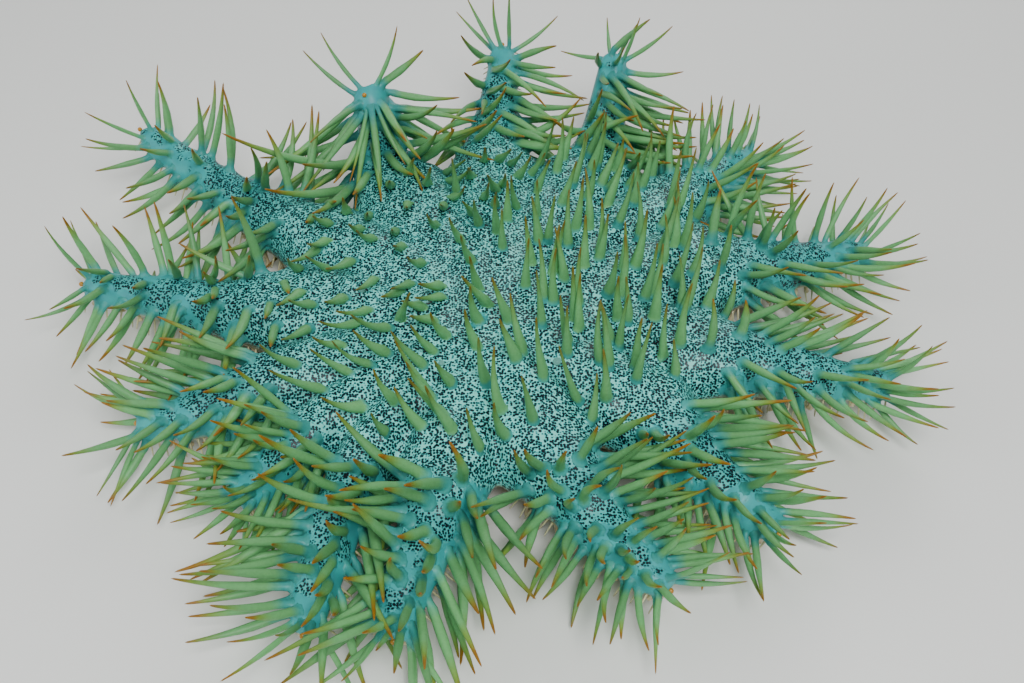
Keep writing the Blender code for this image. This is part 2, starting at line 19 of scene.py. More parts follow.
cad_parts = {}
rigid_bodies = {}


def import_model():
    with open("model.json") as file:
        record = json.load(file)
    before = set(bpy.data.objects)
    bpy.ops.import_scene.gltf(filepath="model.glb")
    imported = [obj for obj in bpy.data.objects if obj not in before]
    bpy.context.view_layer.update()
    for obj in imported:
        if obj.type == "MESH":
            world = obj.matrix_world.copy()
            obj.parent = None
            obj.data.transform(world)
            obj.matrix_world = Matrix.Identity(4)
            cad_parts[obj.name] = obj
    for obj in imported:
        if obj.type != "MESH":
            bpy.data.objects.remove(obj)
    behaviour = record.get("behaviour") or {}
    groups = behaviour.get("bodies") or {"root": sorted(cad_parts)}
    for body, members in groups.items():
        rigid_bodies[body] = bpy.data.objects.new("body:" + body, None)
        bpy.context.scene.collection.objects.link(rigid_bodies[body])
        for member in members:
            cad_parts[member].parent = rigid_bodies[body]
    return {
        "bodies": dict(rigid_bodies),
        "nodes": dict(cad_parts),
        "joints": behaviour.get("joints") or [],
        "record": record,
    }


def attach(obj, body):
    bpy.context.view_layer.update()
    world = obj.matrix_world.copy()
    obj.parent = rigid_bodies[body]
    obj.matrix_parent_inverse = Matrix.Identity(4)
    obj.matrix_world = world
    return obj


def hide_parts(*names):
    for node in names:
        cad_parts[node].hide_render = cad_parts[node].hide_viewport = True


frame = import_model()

bl_info = {
    "name": "Crown-of-thorns starfish",
    "version": (1, 0, 0),
    "blender": (4, 5, 0),
    "location": "View3D > Sidebar > Starfish",
    "description": "Skin, thorns, tube feet and stage of a life-size starfish",
    "category": "Object",
}

MM = 0.001
SEED = 41
UP = Vector((0.0, 0.0, 1.0))
DOWN = Vector((0.0, 0.0, -1.0))

# Where the middle of the disc stands, so that the whole rests centred on the origin.
DISC_X = 12.9
DISC_Y = 12.7

# Disc: height of its middle and of its rim, and the middle of the rim's thickness.
DISC_TOP = 39.0
RIM_TOP = 34.0
RIM_MIDDLE = 20.5
RIM_HALF_HEIGHT = RIM_TOP - RIM_MIDDLE
DISC_TOP_RINGS = (1.0, 0.86, 0.68, 0.46, 0.22)
DISC_FLOOR_RINGS = (1.0, 0.58, 0.18)
GROOVE_FADE = 2.6
# Where the ridges of the arms meet, above the mouth, off the middle of the disc's outline.
RIDGES_MEET = (-12.0, -26.0)
MOUTH_HEIGHT = 13.5
BELLY_HEIGHT = 9.0

# Gap between two parts that meet face to face.
PART_GAP = 0.3

# Outline of an arm across its length, as shares of its half width and half height.
SECTION_TOP = ((-1.0, 0.16), (-0.80, 0.66), (-0.45, 0.93), (0.0, 1.0),
               (0.45, 0.93), (0.80, 0.66), (1.0, 0.16))
SECTION_FLOOR = ((1.0, -0.34), (0.64, -0.84), (0.0, -0.70), (-0.64, -0.84), (-1.0, -0.34))
SECTION = SECTION_TOP + SECTION_FLOOR

# Arms: widths and heights from root to tip, and where their cross-sections stand.
ARM_HALF_WIDTH = 13.6
TIP_HALF_WIDTH = 4.9
TIP_HALF_HEIGHT = 4.8
HEIGHT_FALL = 1.1
FLARE_LENGTH = 26.0
ARM_STATIONS = (0.0, 0.07, 0.16, 0.28, 0.42, 0.57, 0.72, 0.85, 0.945)
TIP_ROUNDING = 0.90
PATH_STEPS = 60
# Least share of its length between a station of an arm and the place where it's divided.
DIVIDE_CLEAR = 0.04

# Each arm: its name, where its side of the disc's rim starts (angle and distance from the
# middle), its length, the turn and rise half way along and at the tip, how far its spines
# lean towards the tip (top, left and right), the sway that all of them share, their size,
# and the share of its length at which a curled arm is divided.
Arm = namedtuple("Arm", "name start reach length turn_mid rise_mid turn_tip rise_tip "
                        "lean_top lean_left lean_right sway_x sway_y sway_z "
                        "spine_size divide")
ARMS = (
    Arm("arm_01", -10.0, 75.0, 72.0, 25.0, -7.0, 14.0, 0.0,
        0.0, 0.0, 0.6, 0.0, -0.55, 0.0, 1.0, 0.0),
    Arm("arm_02", 28.0, 85.0, 56.0, 6.0, -4.0, -4.0, 4.0,
        0.2, 0.2, 0.4, 0.1, -0.20, 0.0, 0.95, 0.0),
    Arm("arm_03", 51.0, 84.0, 62.0, 14.0, 50.0, 0.0, 74.0,
        -0.6, -0.4, -0.4, 0.90, -0.60, -0.20, 1.1, 0.50),
    Arm("arm_04", 83.0, 81.0, 66.0, -25.0, 34.0, -5.0, 46.0,
        -0.6, -0.2, -0.6, 0.90, -0.60, -0.20, 1.15, 0.0),
    Arm("arm_05", 113.0, 83.0, 62.0, -54.0, 31.0, 129.0, 34.0,
        -0.9, -0.2, -0.3, 0.06, -0.45, -0.40, 1.3, 0.50),
    Arm("arm_06", 145.0, 86.0, 110.0, -22.0, -6.0, 0.0, 24.0,
        0.0, 0.3, 0.25, 0.0, -0.50, 0.0, 1.15, 0.0),
    Arm("arm_07", 172.0, 91.0, 88.0, -34.0, -8.0, -10.0, 6.0,
        0.0, 0.4, 0.1, 0.0, -0.55, 0.0, 1.1, 0.0),
    Arm("arm_08", 200.0, 93.0, 58.0, 15.0, -8.0, -25.0, -4.0,
        0.7, 0.4, 0.3, -0.20, -0.35, 0.0, 1.1, 0.0),
    Arm("arm_09", 219.0, 99.0, 38.0, 8.0, -9.0, 0.0, -5.0,
        0.4, 0.3, 0.3, -0.30, -0.20, 0.0, 1.0, 0.0),
    Arm("arm_10", 231.5, 99.0, 67.0, 18.0, -8.0, 15.0, -4.0,
        0.1, 0.2, 0.1, -0.45, -0.15, 0.0, 1.2, 0.0),
    Arm("arm_11", 244.0, 96.0, 63.0, -26.0, -7.0, 4.0, -3.0,
        0.0, 0.3, 0.0, -0.35, -0.25, 0.0, 1.2, 0.0),
    Arm("arm_12", 265.0, 90.0, 63.0, 15.0, -7.0, 19.0, -3.0,
        0.0, 0.4, 0.1, 0.0, -0.15, 0.2, 1.0, 0.0),
    Arm("arm_13", 291.0, 78.0, 62.0, 19.0, -7.0, 11.0, -3.0,
        0.2, 0.35, 0.4, 0.05, -0.35, 0.0, 1.05, 0.0),
    Arm("arm_14", 320.0, 82.0, 71.0, 6.0, -7.0, 11.0, -3.0,
        0.5, 0.5, 0.4, 0.0, -0.45, 0.0, 1.0, 0.0),
)

# Rows of spines along an arm: angle from the top, how many, first and last place along the
# arm, and length.  Every row but the one on top stands on both sides.
Row = namedtuple("Row", "angle count first last length")
ARM_ROWS = (
    Row(0.0, 2, 0.30, 0.72, 25.0),
    Row(38.0, 5, 0.14, 0.86, 30.0),
    Row(72.0, 6, 0.16, 0.90, 34.0),
    Row(106.0, 5, 0.22, 0.86, 31.0),
)
# The spines of the row at this angle stand apart on the two sides, by a share of a step.
STAGGERED_ROW = 38.0
STAGGER = 0.25
# How much the spines of the rows vary: place, as a share of a step, angle, direction and
# length; how they shorten and narrow towards the tip; and how they lean and bend.
ROW_SLIP = 0.18
ROW_TURN = 5.0
ROW_WANDER = 0.16
ROW_LENGTH_SPREAD = 0.14
ROW_SHORTENING = 0.22
ROW_WIDTH = 0.92
ROW_WIDTH_SPREAD = 0.14
ROW_NARROWING = 0.22
ROW_NORMAL = 0.4
ROW_OUTWARD = 0.4
ROW_TIP_LEAN = 0.55
ROW_BEND = 0.4
# The fan of spines round the tip of an arm.
TIP_FAN_SHARE = 0.90
TIP_FAN_WIDTH = 0.62
TIP_FAN_LENGTH_SPREAD = 0.08
TIP_FAN_COUNT = 5
TIP_FAN_HALF = 110.0
RAISED_FAN_HALF = 160.0
RAISED_FAN_EXTRA = 3
TIP_FAN_SPREAD = 48.0
RAISED_FAN_SPREAD = 64.0
TIP_FAN_LENGTH = 23.0

# Spines of the disc.
DISC_SPINE_COUNT = 90
DISC_SPINE_REACH = 0.93
DISC_SPINE_LENGTH = 20.5
DISC_LENGTHENING = 0.18
DISC_LENGTH_SPREAD = 0.18
DISC_SPINE_WIDTH = 0.98
DISC_WIDTH_SPREAD = 0.2
DISC_SPINE_START = 0.6
DISC_SLIP = 2.8
DISC_WANDER = 0.14
# The spines of the disc bend a little away from the camera as they rise.
DISC_BEND = Vector((0.0, 0.3, 1.0))
# Height over the disc from which its surface is looked for.
ABOVE_SOLIDS = 20.0
# How the spines of the disc lean (x and y) near some places on it (x and y).
DISC_LEANS = (
    (60.0, 10.0, 0.22, 0.15), (0.0, 0.0, 0.0, -0.10), (40.0, 55.0, 0.30, 0.0),
    (15.0, -60.0, -0.10, 0.0), (-15.0, -60.0, -0.35, -0.15), (-45.0, -55.0, -0.95, -0.45),
    (-50.0, -20.0, -0.95, -2.1), (-65.0, 5.0, -0.90, -2.6), (-45.0, 30.0, -0.10, -2.2),
    (-35.0, 55.0, 0.25, -1.40), (-20.0, 10.0, -0.25, -0.55),
)
DISC_LEAN_REACH = 16.0
GOLDEN_ANGLE = 137.508

# One spine: a fleshy foot sunk in the skin, widest at its shoulder, then a long taper.
FOOT_RADIUS = 1.9
SHOULDER_RADIUS = 2.3
SHOULDER_AT = 0.30
ROOT_DEPTH = 4.0
ROOT_DEPTH_SHARE = 0.45
SHALLOWEST_ROOT = 1.2
SPINE_BEND = 7.0
# The two straight stretches of a spine's middle line, from just under the skin.
SPINE_STRETCHES = ((-0.08, SHOULDER_AT), (SHOULDER_AT, 1.0))

# Room kept round a spine, and the share of its length from which it's kept to the floor and
# to the spine's own part.
OTHER_PART_ROOM = 0.8
SAME_PART_ROOM = 0.5
FLOOR_ROOM = 1.2
FLOOR_ROOM_FROM = 0.1
SAME_PART_ROOM_FROM = 0.4
NEIGHBOUR_REACH = 6.0
BODY_TRIALS = 26
# Least share of a spine's direction that points straight out of the surface, least share of
# one that can be turned towards another, and least share at which a rim side faces a place.
LEAST_OUTWARD = 0.35
LEAST_LEAN = 0.05
LEAST_FACING = 0.05
JUST_UNDER = 0.3
TRIAL_TILTS = (0.0, 9.0, 18.0, 28.0, 40.0)
TRIAL_TURNS = 8
TRIAL_LENGTHS = (1.0, 0.82, 0.66)

# Room for the tube feet under the arms, down to the floor.
FOOT_PLACES = (0.12, 0.62)
TUBE_OFFSET = 0.52
TUBE_LONGEST = 14.0
TUBE_ROOM_WIDTH = 1.3
UNDER_FLOOR = -5.0


def spread(rng, amount):
    """Return a factor near 1 that varies by the given share."""
    return 1.0 + rng.uniform(-amount, amount)


def rim_corner(index):
    """Return the corner of the disc's rim where an arm's side starts."""
    arm = ARMS[index % len(ARMS)]
    angle = math.radians(arm.start)
    return Vector((arm.reach * math.cos(angle), arm.reach * math.sin(angle), 0.0))


def rim_side(index):
    """Return middle, outward direction, along direction and half length of one rim side."""
    start = rim_corner(index)
    end = rim_corner(index + 1)
    along = (end - start).normalized()
    outward = Vector((along.y, -along.x, 0.0))
    return (start + end) / 2, outward, along, (end - start).length / 2


def heading(angle, rise):
    """Return the direction with the given compass angle and rise."""
    a = math.radians(angle)
    b = math.radians(rise)
    return Vector((math.cos(a) * math.cos(b), math.sin(a) * math.cos(b), math.sin(b)))


def arm_half_width(share, length, root_half):
    """Return the half width of an arm at a share of its length."""
    plain_root = min(ARM_HALF_WIDTH, root_half)
    plain = plain_root + (TIP_HALF_WIDTH - plain_root) * share
    flare = max(0.0, 1.0 - share * length / FLARE_LENGTH)
    return plain + (root_half - plain_root) * flare * flare


def arm_half_height(share):
    """Return the half height of an arm at a share of its length."""
    return RIM_HALF_HEIGHT + (TIP_HALF_HEIGHT - RIM_HALF_HEIGHT) * share ** HEIGHT_FALL


def tip_closing(share):
    """Return how far the arm's rounded end has closed in at a share of its length."""
    past = max(0.0, share - TIP_ROUNDING) / (1.0 - TIP_ROUNDING)
    return math.sqrt(max(0.0, 1.0 - past * past))


Frame = namedtuple("Frame", "centre forward up side half_width half_height")


def arm_path(index):
    """Return frames from root to tip along the middle line of one arm."""
    arm = ARMS[index]
    middle, outward, _, half_side = rim_side(index)
    base = math.degrees(math.atan2(outward.y, outward.x))
    start = heading(base, 0.0)
    middle_way = heading(base + arm.turn_mid, arm.rise_mid)
    end = heading(base + arm.turn_tip, arm.rise_tip)
    centre = middle + outward * PART_GAP + Vector((0.0, 0.0, RIM_MIDDLE))
    up = UP
    frames = []
    for step in range(PATH_STEPS + 1):
        share = step / PATH_STEPS
        forward = (start * (1 - share) ** 2 + middle_way * (2 * share * (1 - share))
                   + end * share ** 2).normalized()
        if step:
            centre = centre + forward * (arm.length / PATH_STEPS)
        up = (up - forward * up.dot(forward)).normalized()
        side = forward.cross(up)
        closing = tip_closing(share)
        half_width = arm_half_width(share, arm.length, half_side - PART_GAP) * closing
        frames.append(Frame(centre, forward, up, side, half_width,
                            arm_half_height(share) * closing))
    return frames


def frame_at(frames, share):
    """Return the frame nearest to a share of the arm's length."""
    return frames[round(share * (len(frames) - 1))]


def section_ring(frame, offset=0.0):
    """Return the twelve points of one cross-section."""
    centre = frame.centre + frame.forward * offset
    return [centre + frame.side * (u * frame.half_width) + frame.up * (v * frame.half_height)
            for u, v in SECTION]


def band_faces(first, count, bands):
    """Return the faces that join rings of equal count, one after the other."""
    faces = []
    for band in range(bands):
        low = first + band * count
        for i in range(count):
            j = (i + 1) % count
            faces.append((low + i, low + j, low + count + j, low + count + i))
    return faces


def cone_faces(first, count, apex):
    """Return the faces that join a ring to one point."""
    return [(first + i, first + (i + 1) % count, apex) for i in range(count)]


def loft(rings, apex=None):
    """Return points and faces of a closed tube through rings of equal count."""
    points = [point for ring in rings for point in ring]
    count = len(rings[0])
    last = (len(rings) - 1) * count
    faces = [tuple(reversed(range(count)))] + band_faces(0, count, len(rings) - 1)
    if apex is None:
        faces.append(tuple(range(last, last + count)))
    else:
        points.append(apex)
        faces += cone_faces(last, count, len(points) - 1)
    return points, faces


def arm_bodies(index):
    """Return one or two named bodies that make up one arm."""
    arm = ARMS[index]
    frames = arm_path(index)
    tip = frames[-1].centre
    if not arm.divide:
        rings = [section_ring(frame_at(frames, share)) for share in ARM_STATIONS]
        return [(arm.name, loft(rings, tip))]
    cut = frame_at(frames, arm.divide)
    near = [section_ring(frame_at(frames, share)) for share in ARM_STATIONS
            if share < arm.divide - DIVIDE_CLEAR]
    far = [section_ring(frame_at(frames, share)) for share in ARM_STATIONS
           if share > arm.divide + DIVIDE_CLEAR]
    near.append(section_ring(cut))
    far.insert(0, section_ring(cut, PART_GAP))
    return [(arm.name + "_base", loft(near)), (arm.name + "_end", loft(far, tip))]


def inward(place, scale, height):
    """Return a rim point drawn in towards the place where the ridges meet."""
    x, y = RIDGES_MEET
    return Vector((x + (place.x - x) * scale, y + (place.y - y) * scale, height))


def disc_body():
    """Return points and faces of the domed disc with one flat side for each arm."""
    points = []
    top_rim = []
    floor_rim = []
    for index in range(len(ARMS)):
        middle, _, along, half_side = rim_side(index)
        top_rim += [(middle + along * (u * half_side), v) for u, v in SECTION_TOP[:-1]]
        floor_rim += [(middle - along * (u * half_side), v) for u, v in SECTION_FLOOR[:-1]]
    rise = DISC_TOP - RIM_TOP
    for scale in DISC_TOP_RINGS:
        dome = RIM_TOP + rise * (1.0 - scale * scale)
        fade = scale ** GROOVE_FADE
        for place, v in top_rim:
            drop = (1.0 - v) * RIM_HALF_HEIGHT * fade
            points.append(inward(place, scale, dome - drop))
    floor_start = len(points)
    for scale in DISC_FLOOR_RINGS:
        for place, v in floor_rim:
            rim = RIM_MIDDLE + v * RIM_HALF_HEIGHT
            height = BELLY_HEIGHT + (rim - BELLY_HEIGHT) * scale ** GROOVE_FADE
            points.append(inward(place, scale, height))
    top_count = len(top_rim)
    floor_count = len(floor_rim)
    top_bands = len(DISC_TOP_RINGS) - 1
    floor_bands = len(DISC_FLOOR_RINGS) - 1
    faces = band_faces(0, top_count, top_bands)
    faces += band_faces(floor_start, floor_count, floor_bands)
    points.append(Vector(RIDGES_MEET + (DISC_TOP,)))
    faces += cone_faces(top_bands * top_count, top_count, len(points) - 1)
    points.append(Vector(RIDGES_MEET + (MOUTH_HEIGHT,)))
    faces += cone_faces(floor_start + floor_bands * floor_count, floor_count,
                        len(points) - 1)
    top_side = len(SECTION_TOP) - 1
    floor_side = len(SECTION_FLOOR) - 1
    for index in range(len(ARMS)):
        top = [(top_side * index + i) % top_count for i in range(top_side + 1)]
        low = [floor_start + (floor_side * index + i) % floor_count
               for i in range(floor_side + 1)]
        faces.append(tuple(top) + tuple(reversed(low)))
    return points, faces


Spine = namedtuple("Spine", "root way bent length width depth")


def spine_radius(spine, share):
    """Return the radius of a spine at a share of its length from the skin."""
    if share < SHOULDER_AT:
        blend = max(share, 0.0) / SHOULDER_AT
        return spine.width * (FOOT_RADIUS + (SHOULDER_RADIUS - FOOT_RADIUS) * blend)
    return spine.width * SHOULDER_RADIUS * (1.0 - share) / (1.0 - SHOULDER_AT)


def spine_point(spine, share):
    """Return the point on a spine's middle line at a share of its length."""
    shoulder = spine.root + spine.way * (spine.length * SHOULDER_AT)
    if share <= SHOULDER_AT:
        return spine.root + spine.way * (spine.length * share)
    return shoulder + spine.bent * (spine.length * (share - SHOULDER_AT))


def segment_distance(a, b, c, d):
    """Return the distance between two segments and the shares where they come closest."""
    u = b - a
    v = d - c
    w = a - c
    uu = u.dot(u)
    uv = u.dot(v)
    vv = v.dot(v)
    uw = u.dot(w)
    vw = v.dot(w)
    det = uu * vv - uv * uv
    s = 0.0 if det < 1e-9 else min(1.0, max(0.0, (uv * vw - vv * uw) / det))
    t = (uv * s + vw) / vv
    if t < 0.0:
        t = 0.0
        s = min(1.0, max(0.0, -uw / uu))
    elif t > 1.0:
        t = 1.0
        s = min(1.0, max(0.0, (uv - uw) / uu))
    return ((a + u * s) - (c + v * t)).length, s, t


def spine_gap(first, second):
    """Return the clear room between two spines."""
    best = 1e9
    for low, high in SPINE_STRETCHES:
        a = spine_point(first, low)
        b = spine_point(first, high)
        for low2, high2 in SPINE_STRETCHES:
            c = spine_point(second, low2)
            d = spine_point(second, high2)
            apart, s, t = segment_distance(a, b, c, d)
            apart -= spine_radius(first, low + (high - low) * s)
            apart -= spine_radius(second, low2 + (high2 - low2) * t)
            best = min(best, apart)
    return best


class Thicket:
    """Keeps every body and every spine set so far, and finds each new spine its room."""

    def __init__(self, bodies):
        self.trees = {name: BVHTree.FromPolygons(points, faces)
                      for name, (points, faces) in bodies.items()}
        self.spines = []

    def surface(self, name, origin, way):
        """Return where a ray first meets a body, and the body's normal there."""
        place, normal, _, _ = self.trees[name].ray_cast(origin, way)
        return place, normal

    def depth_under(self, name, root, way):
        """Return how thick the body is below a root."""
        far, _, _, _ = self.trees[name].ray_cast(root - way * JUST_UNDER, -way)
        return (far - root).length if far else 0.0

    def clear_of_bodies(self, name, spine):
        """Say whether a spine keeps its room to every body and to the floor."""
        shares = [-spine.depth / spine.length]
        shares += [step / BODY_TRIALS for step in range(BODY_TRIALS + 1)]
        for share in shares:
            point = spine_point(spine, share)
            radius = spine_radius(spine, share)
            if share > FLOOR_ROOM_FROM and point.z - radius < FLOOR_ROOM:
                return False
            for other, tree in self.trees.items():
                if other == name and share < SAME_PART_ROOM_FROM:
                    continue
                room = radius + (SAME_PART_ROOM if other == name else OTHER_PART_ROOM)
                if tree.find_nearest(point, room)[0] is not None:
                    return False
        return True

    def clear_of_spines(self, name, spine):
        """Say whether a spine keeps its room to every spine set before it."""
        middle = spine_point(spine, 0.5)
        for owner, other, other_middle in self.spines:
            reach = (spine.length + other.length) / 2 + NEIGHBOUR_REACH
            if (middle - other_middle).length > reach:
                continue
            room = SAME_PART_ROOM if owner == name else OTHER_PART_ROOM
            if spine_gap(spine, other) < room:
                return False
        return True

    def settle(self, name, root, normal, way, length, width, bend_way):
        """Set one spine, tilted or shortened until it is clear; return it or None."""
        for share in TRIAL_LENGTHS:
            for tilt in TRIAL_TILTS:
                turns = TRIAL_TURNS if tilt else 1
                for turn in range(turns):
                    tried = tilted(way, tilt, 360.0 * turn / turns)
                    if tried.dot(normal) < LEAST_OUTWARD:
                        continue
                    bent = tilted_towards(tried, bend_way, SPINE_BEND)
                    thickness = self.depth_under(name, root, tried)
                    depth = min(ROOT_DEPTH, ROOT_DEPTH_SHARE * thickness)
                    if depth < SHALLOWEST_ROOT:
                        continue
                    spine = Spine(root, tried, bent, length * share, width, depth)
                    if not self.clear_of_bodies(name, spine):
                        continue
                    if self.clear_of_spines(name, spine):
                        self.spines.append((name, spine, spine_point(spine, 0.5)))
                        return spine
        return None


def tilted(way, tilt, turn):
    """Return a direction tilted by an angle towards a side chosen by a turn."""
    if not tilt:
        return way
    across = way.orthogonal().normalized()
    other = way.cross(across)
    a = math.radians(turn)
    t = math.radians(tilt)
    lean = across * math.cos(a) + other * math.sin(a)
    return (way * math.cos(t) + lean * math.sin(t)).normalized()


def tilted_towards(way, target, tilt):
    """Return a direction tilted by an angle towards another direction."""
    lean = target - way * target.dot(way)
    if lean.length < LEAST_LEAN:
        return way
    t = math.radians(tilt)
    return (way * math.cos(t) + lean.normalized() * math.sin(t)).normalized()


def keep_tube_room(index, thicket, nodes):
    """Keep room for the tube feet of an arm where it lies low enough to reach the floor."""
    arm = ARMS[index]
    frames = arm_path(index)
    for share in FOOT_PLACES:
        frame = frame_at(frames, share)
        name = nodes[0]
        if len(nodes) > 1 and share > arm.divide:
            name = nodes[1]
        for side in (-1.0, 1.0):
            reach = frame.centre + frame.side * (side * TUBE_OFFSET * frame.half_width)
            start = Vector((reach.x, reach.y, UNDER_FLOOR))
            root, _ = thicket.surface(name, start, UP)
            if root is None or root.z > TUBE_LONGEST:
                continue
            taken = Spine(root, DOWN, DOWN, root.z * 2.0, TUBE_ROOM_WIDTH, 0.0)
            thicket.spines.append((name, taken, spine_point(taken, 0.5)))


def row_spine(arm, row, frame, share, angle, name, thicket, rng):
    """Set one spine of a row, at an angle round the arm; return it or None."""
    out = frame.up * math.cos(angle) + frame.side * math.sin(angle)
    root, normal = thicket.surface(name, frame.centre, out)
    if root is None:
        return None
    aside = abs(math.sin(angle))
    own = arm.lean_right if angle > 0.0 else arm.lean_left
    lean = arm.lean_top * (1.0 - aside) + own * aside + ROW_TIP_LEAN * share ** 3
    sway = Vector((arm.sway_x, arm.sway_y, arm.sway_z))
    way = normal * ROW_NORMAL + out * ROW_OUTWARD + frame.forward * lean + sway
    way = (way + random_lean(rng, ROW_WANDER)).normalized()
    length = row.length * arm.spine_size * (1.0 - ROW_SHORTENING * share)
    length *= spread(rng, ROW_LENGTH_SPREAD)
    width = ROW_WIDTH + ROW_WIDTH_SPREAD * rng.random() - ROW_NARROWING * share
    bend = UP + frame.forward * ROW_BEND
    return thicket.settle(name, root, normal, way, length, width * arm.spine_size, bend)


def fan_spine(arm, frame, angle, tilt, name, thicket, rng):
    """Set one spine of the fan round an arm's tip; return it or None."""
    out = frame.up * math.cos(angle) + frame.side * math.sin(angle)
    way = (frame.forward * math.cos(tilt) + out * math.sin(tilt)).normalized()
    root, normal = thicket.surface(name, frame.centre, way)
    if root is None:
        return None
    length = TIP_FAN_LENGTH * arm.spine_size * spread(rng, TIP_FAN_LENGTH_SPREAD)
    return thicket.settle(name, root, normal, way, length, TIP_FAN_WIDTH, UP)


def arm_spines(index, thicket, nodes, rows, fan_count, seed):
    """Set the spines of one arm and return those of each node with their twists."""
    arm = ARMS[index]
    rng = random.Random(seed + index)
    frames = arm_path(index)
    gained = {name: [] for name in nodes}
    for row in rows:
        step = (row.last - row.first) / max(1, row.count - 1)
        for side in (1.0,) if row.angle == 0.0 else (1.0, -1.0):
            stagger = STAGGER * step * side if row.angle == STAGGERED_ROW else 0.0
            for place in range(row.count):
                slip = rng.uniform(-ROW_SLIP, ROW_SLIP) * step
                share = row.first + step * place + stagger + slip
                share = min(row.last, max(row.first, share))
                angle = math.radians(row.angle * side + rng.uniform(-ROW_TURN, ROW_TURN))
                name = nodes[0]
                if len(nodes) > 1 and share > arm.divide:
                    name = nodes[1]
                spine = row_spine(arm, row, frame_at(frames, share), share, angle, name,
                                  thicket, rng)
                if spine:
                    gained[name].append((spine, rng.uniform(0.0, math.pi)))
    fan_half = RAISED_FAN_HALF if arm.divide else TIP_FAN_HALF
    tilt = math.radians(RAISED_FAN_SPREAD if arm.divide else TIP_FAN_SPREAD)
    if arm.divide:
        fan_count += RAISED_FAN_EXTRA
    for place in range(fan_count):
        angle = math.radians(fan_half * (2.0 * place / (fan_count - 1) - 1.0))
        spine = fan_spine(arm, frame_at(frames, TIP_FAN_SHARE), angle, tilt, nodes[-1],
                          thicket, rng)
        if spine:
            gained[nodes[-1]].append((spine, rng.uniform(0.0, math.pi)))
    return gained


def random_lean(rng, amount):
    """Return a small vector in a random direction."""
    return Vector((rng.uniform(-amount, amount), rng.uniform(-amount, amount),
                   rng.uniform(-amount, amount)))


def rim_reach(angle):
    """Return the distance from the middle to the rim at a compass angle in radians."""
    way = Vector((math.cos(angle), math.sin(angle), 0.0))
    best = 1e9
    for index in range(len(ARMS)):
        middle, outward, _, _ = rim_side(index)
        facing = outward.dot(way)
        if facing > LEAST_FACING:
            best = min(best, middle.dot(outward) / facing)
    return best


def disc_lean(x, y):
    """Return how the spines lean at a place on the disc."""
    total = 0.0
    lean = Vector((0.0, 0.0, 0.0))
    for place_x, place_y, lean_x, lean_y in DISC_LEANS:
        apart = math.hypot(x - place_x, y - place_y) / DISC_LEAN_REACH
        weight = math.exp(-apart * apart / 2) + 1e-6
        total += weight
        lean += Vector((lean_x, lean_y, 0.0)) * weight
    return lean / total


def disc_spines(thicket, count, seed):
    """Set the spines of the disc and return them with their twists."""
    rng = random.Random(seed)
    spines = []
    for place in range(count):
        angle = math.radians((place * GOLDEN_ANGLE) % 360.0)
        share = math.sqrt((place + DISC_SPINE_START) / count) * DISC_SPINE_REACH
        reach = rim_reach(angle) * share
        x = reach * math.cos(angle) + rng.uniform(-DISC_SLIP, DISC_SLIP)
        y = reach * math.sin(angle) + rng.uniform(-DISC_SLIP, DISC_SLIP)
        start = Vector((x, y, DISC_TOP + ABOVE_SOLIDS))
        root, normal = thicket.surface("disc", start, DOWN)
        if root is None:
            continue
        way = (UP + disc_lean(x, y) + random_lean(rng, DISC_WANDER)).normalized()
        length = DISC_SPINE_LENGTH * (1.0 + DISC_LENGTHENING * share)
        length *= spread(rng, DISC_LENGTH_SPREAD)
        width = DISC_SPINE_WIDTH + DISC_WIDTH_SPREAD * rng.random()
        spine = thicket.settle("disc", root, normal, way, length, width, DISC_BEND)
        if spine:
            spines.append((spine, rng.uniform(0.0, math.pi)))
    return spines


def all_bodies():
    """Return the bodies by name and the names of the nodes of each arm."""
    bodies = {"disc": disc_body()}
    arm_nodes = []
    for index in range(len(ARMS)):
        parts = arm_bodies(index)
        arm_nodes.append([name for name, _ in parts])
        bodies.update(parts)
    return bodies, arm_nodes


def set_all(thicket, arm_nodes):
    """Keep the tube feet their room, set all spines and return them by node."""
    for index, nodes in enumerate(arm_nodes):
        keep_tube_room(index, thicket, nodes)
    spines = {}
    for index, nodes in enumerate(arm_nodes):
        spines.update(arm_spines(index, thicket, nodes, ARM_ROWS, TIP_FAN_COUNT, SEED))
    spines["disc"] = disc_spines(thicket, DISC_SPINE_COUNT, SEED)
    return spines


# Extra thorns, finer than the rows above and set among them.
FINE_ROWS = (
    Row(16.0, 4, 0.16, 0.90, 24.0),
    Row(36.0, 4, 0.30, 0.95, 27.0),
    Row(55.0, 6, 0.12, 0.95, 31.0),
    Row(72.0, 5, 0.30, 0.96, 32.0),
    Row(88.0, 8, 0.14, 0.96, 33.0),
    Row(104.0, 6, 0.20, 0.95, 30.0),
    Row(120.0, 5, 0.20, 0.94, 26.0),
)
SPARSE_ROWS = (
    Row(16.0, 2, 0.30, 0.84, 24.0),
    Row(55.0, 4, 0.14, 0.92, 31.0),
    Row(88.0, 5, 0.16, 0.93, 33.0),
    Row(118.0, 4, 0.25, 0.90, 28.0),
)
DENSE_ARMS = ("arm_09", "arm_10", "arm_11", "arm_12")
FINE_FAN_COUNT = 6
FINE_DISC_COUNT = 96
FINE_SEED = 977
# Share of its width at which an extra thorn is tested for room, so that more of them fit.
FINE_SLIMMING = 0.3
# The upper sides of the raised arms face the camera: long thorns stand out from them over
# the disc.  Index of the arm, direction, and how far they spread to the sides.
HANGING_ARMS = (
    (4, (0.05, -0.95, -0.14), 0.60),
    (3, (0.55, -0.62, -0.10), 0.35),
    (2, (0.80, -0.45, -0.06), 0.30),
)
HANGING_SHARES = (0.30, 0.42, 0.54, 0.66, 0.78, 0.88, 0.96)
HANGING_ANGLES = (-60.0, -30.0, 0.0, 30.0, 60.0)
HANGING_LENGTH = 33.0
HANGING_WIDTH = 0.95
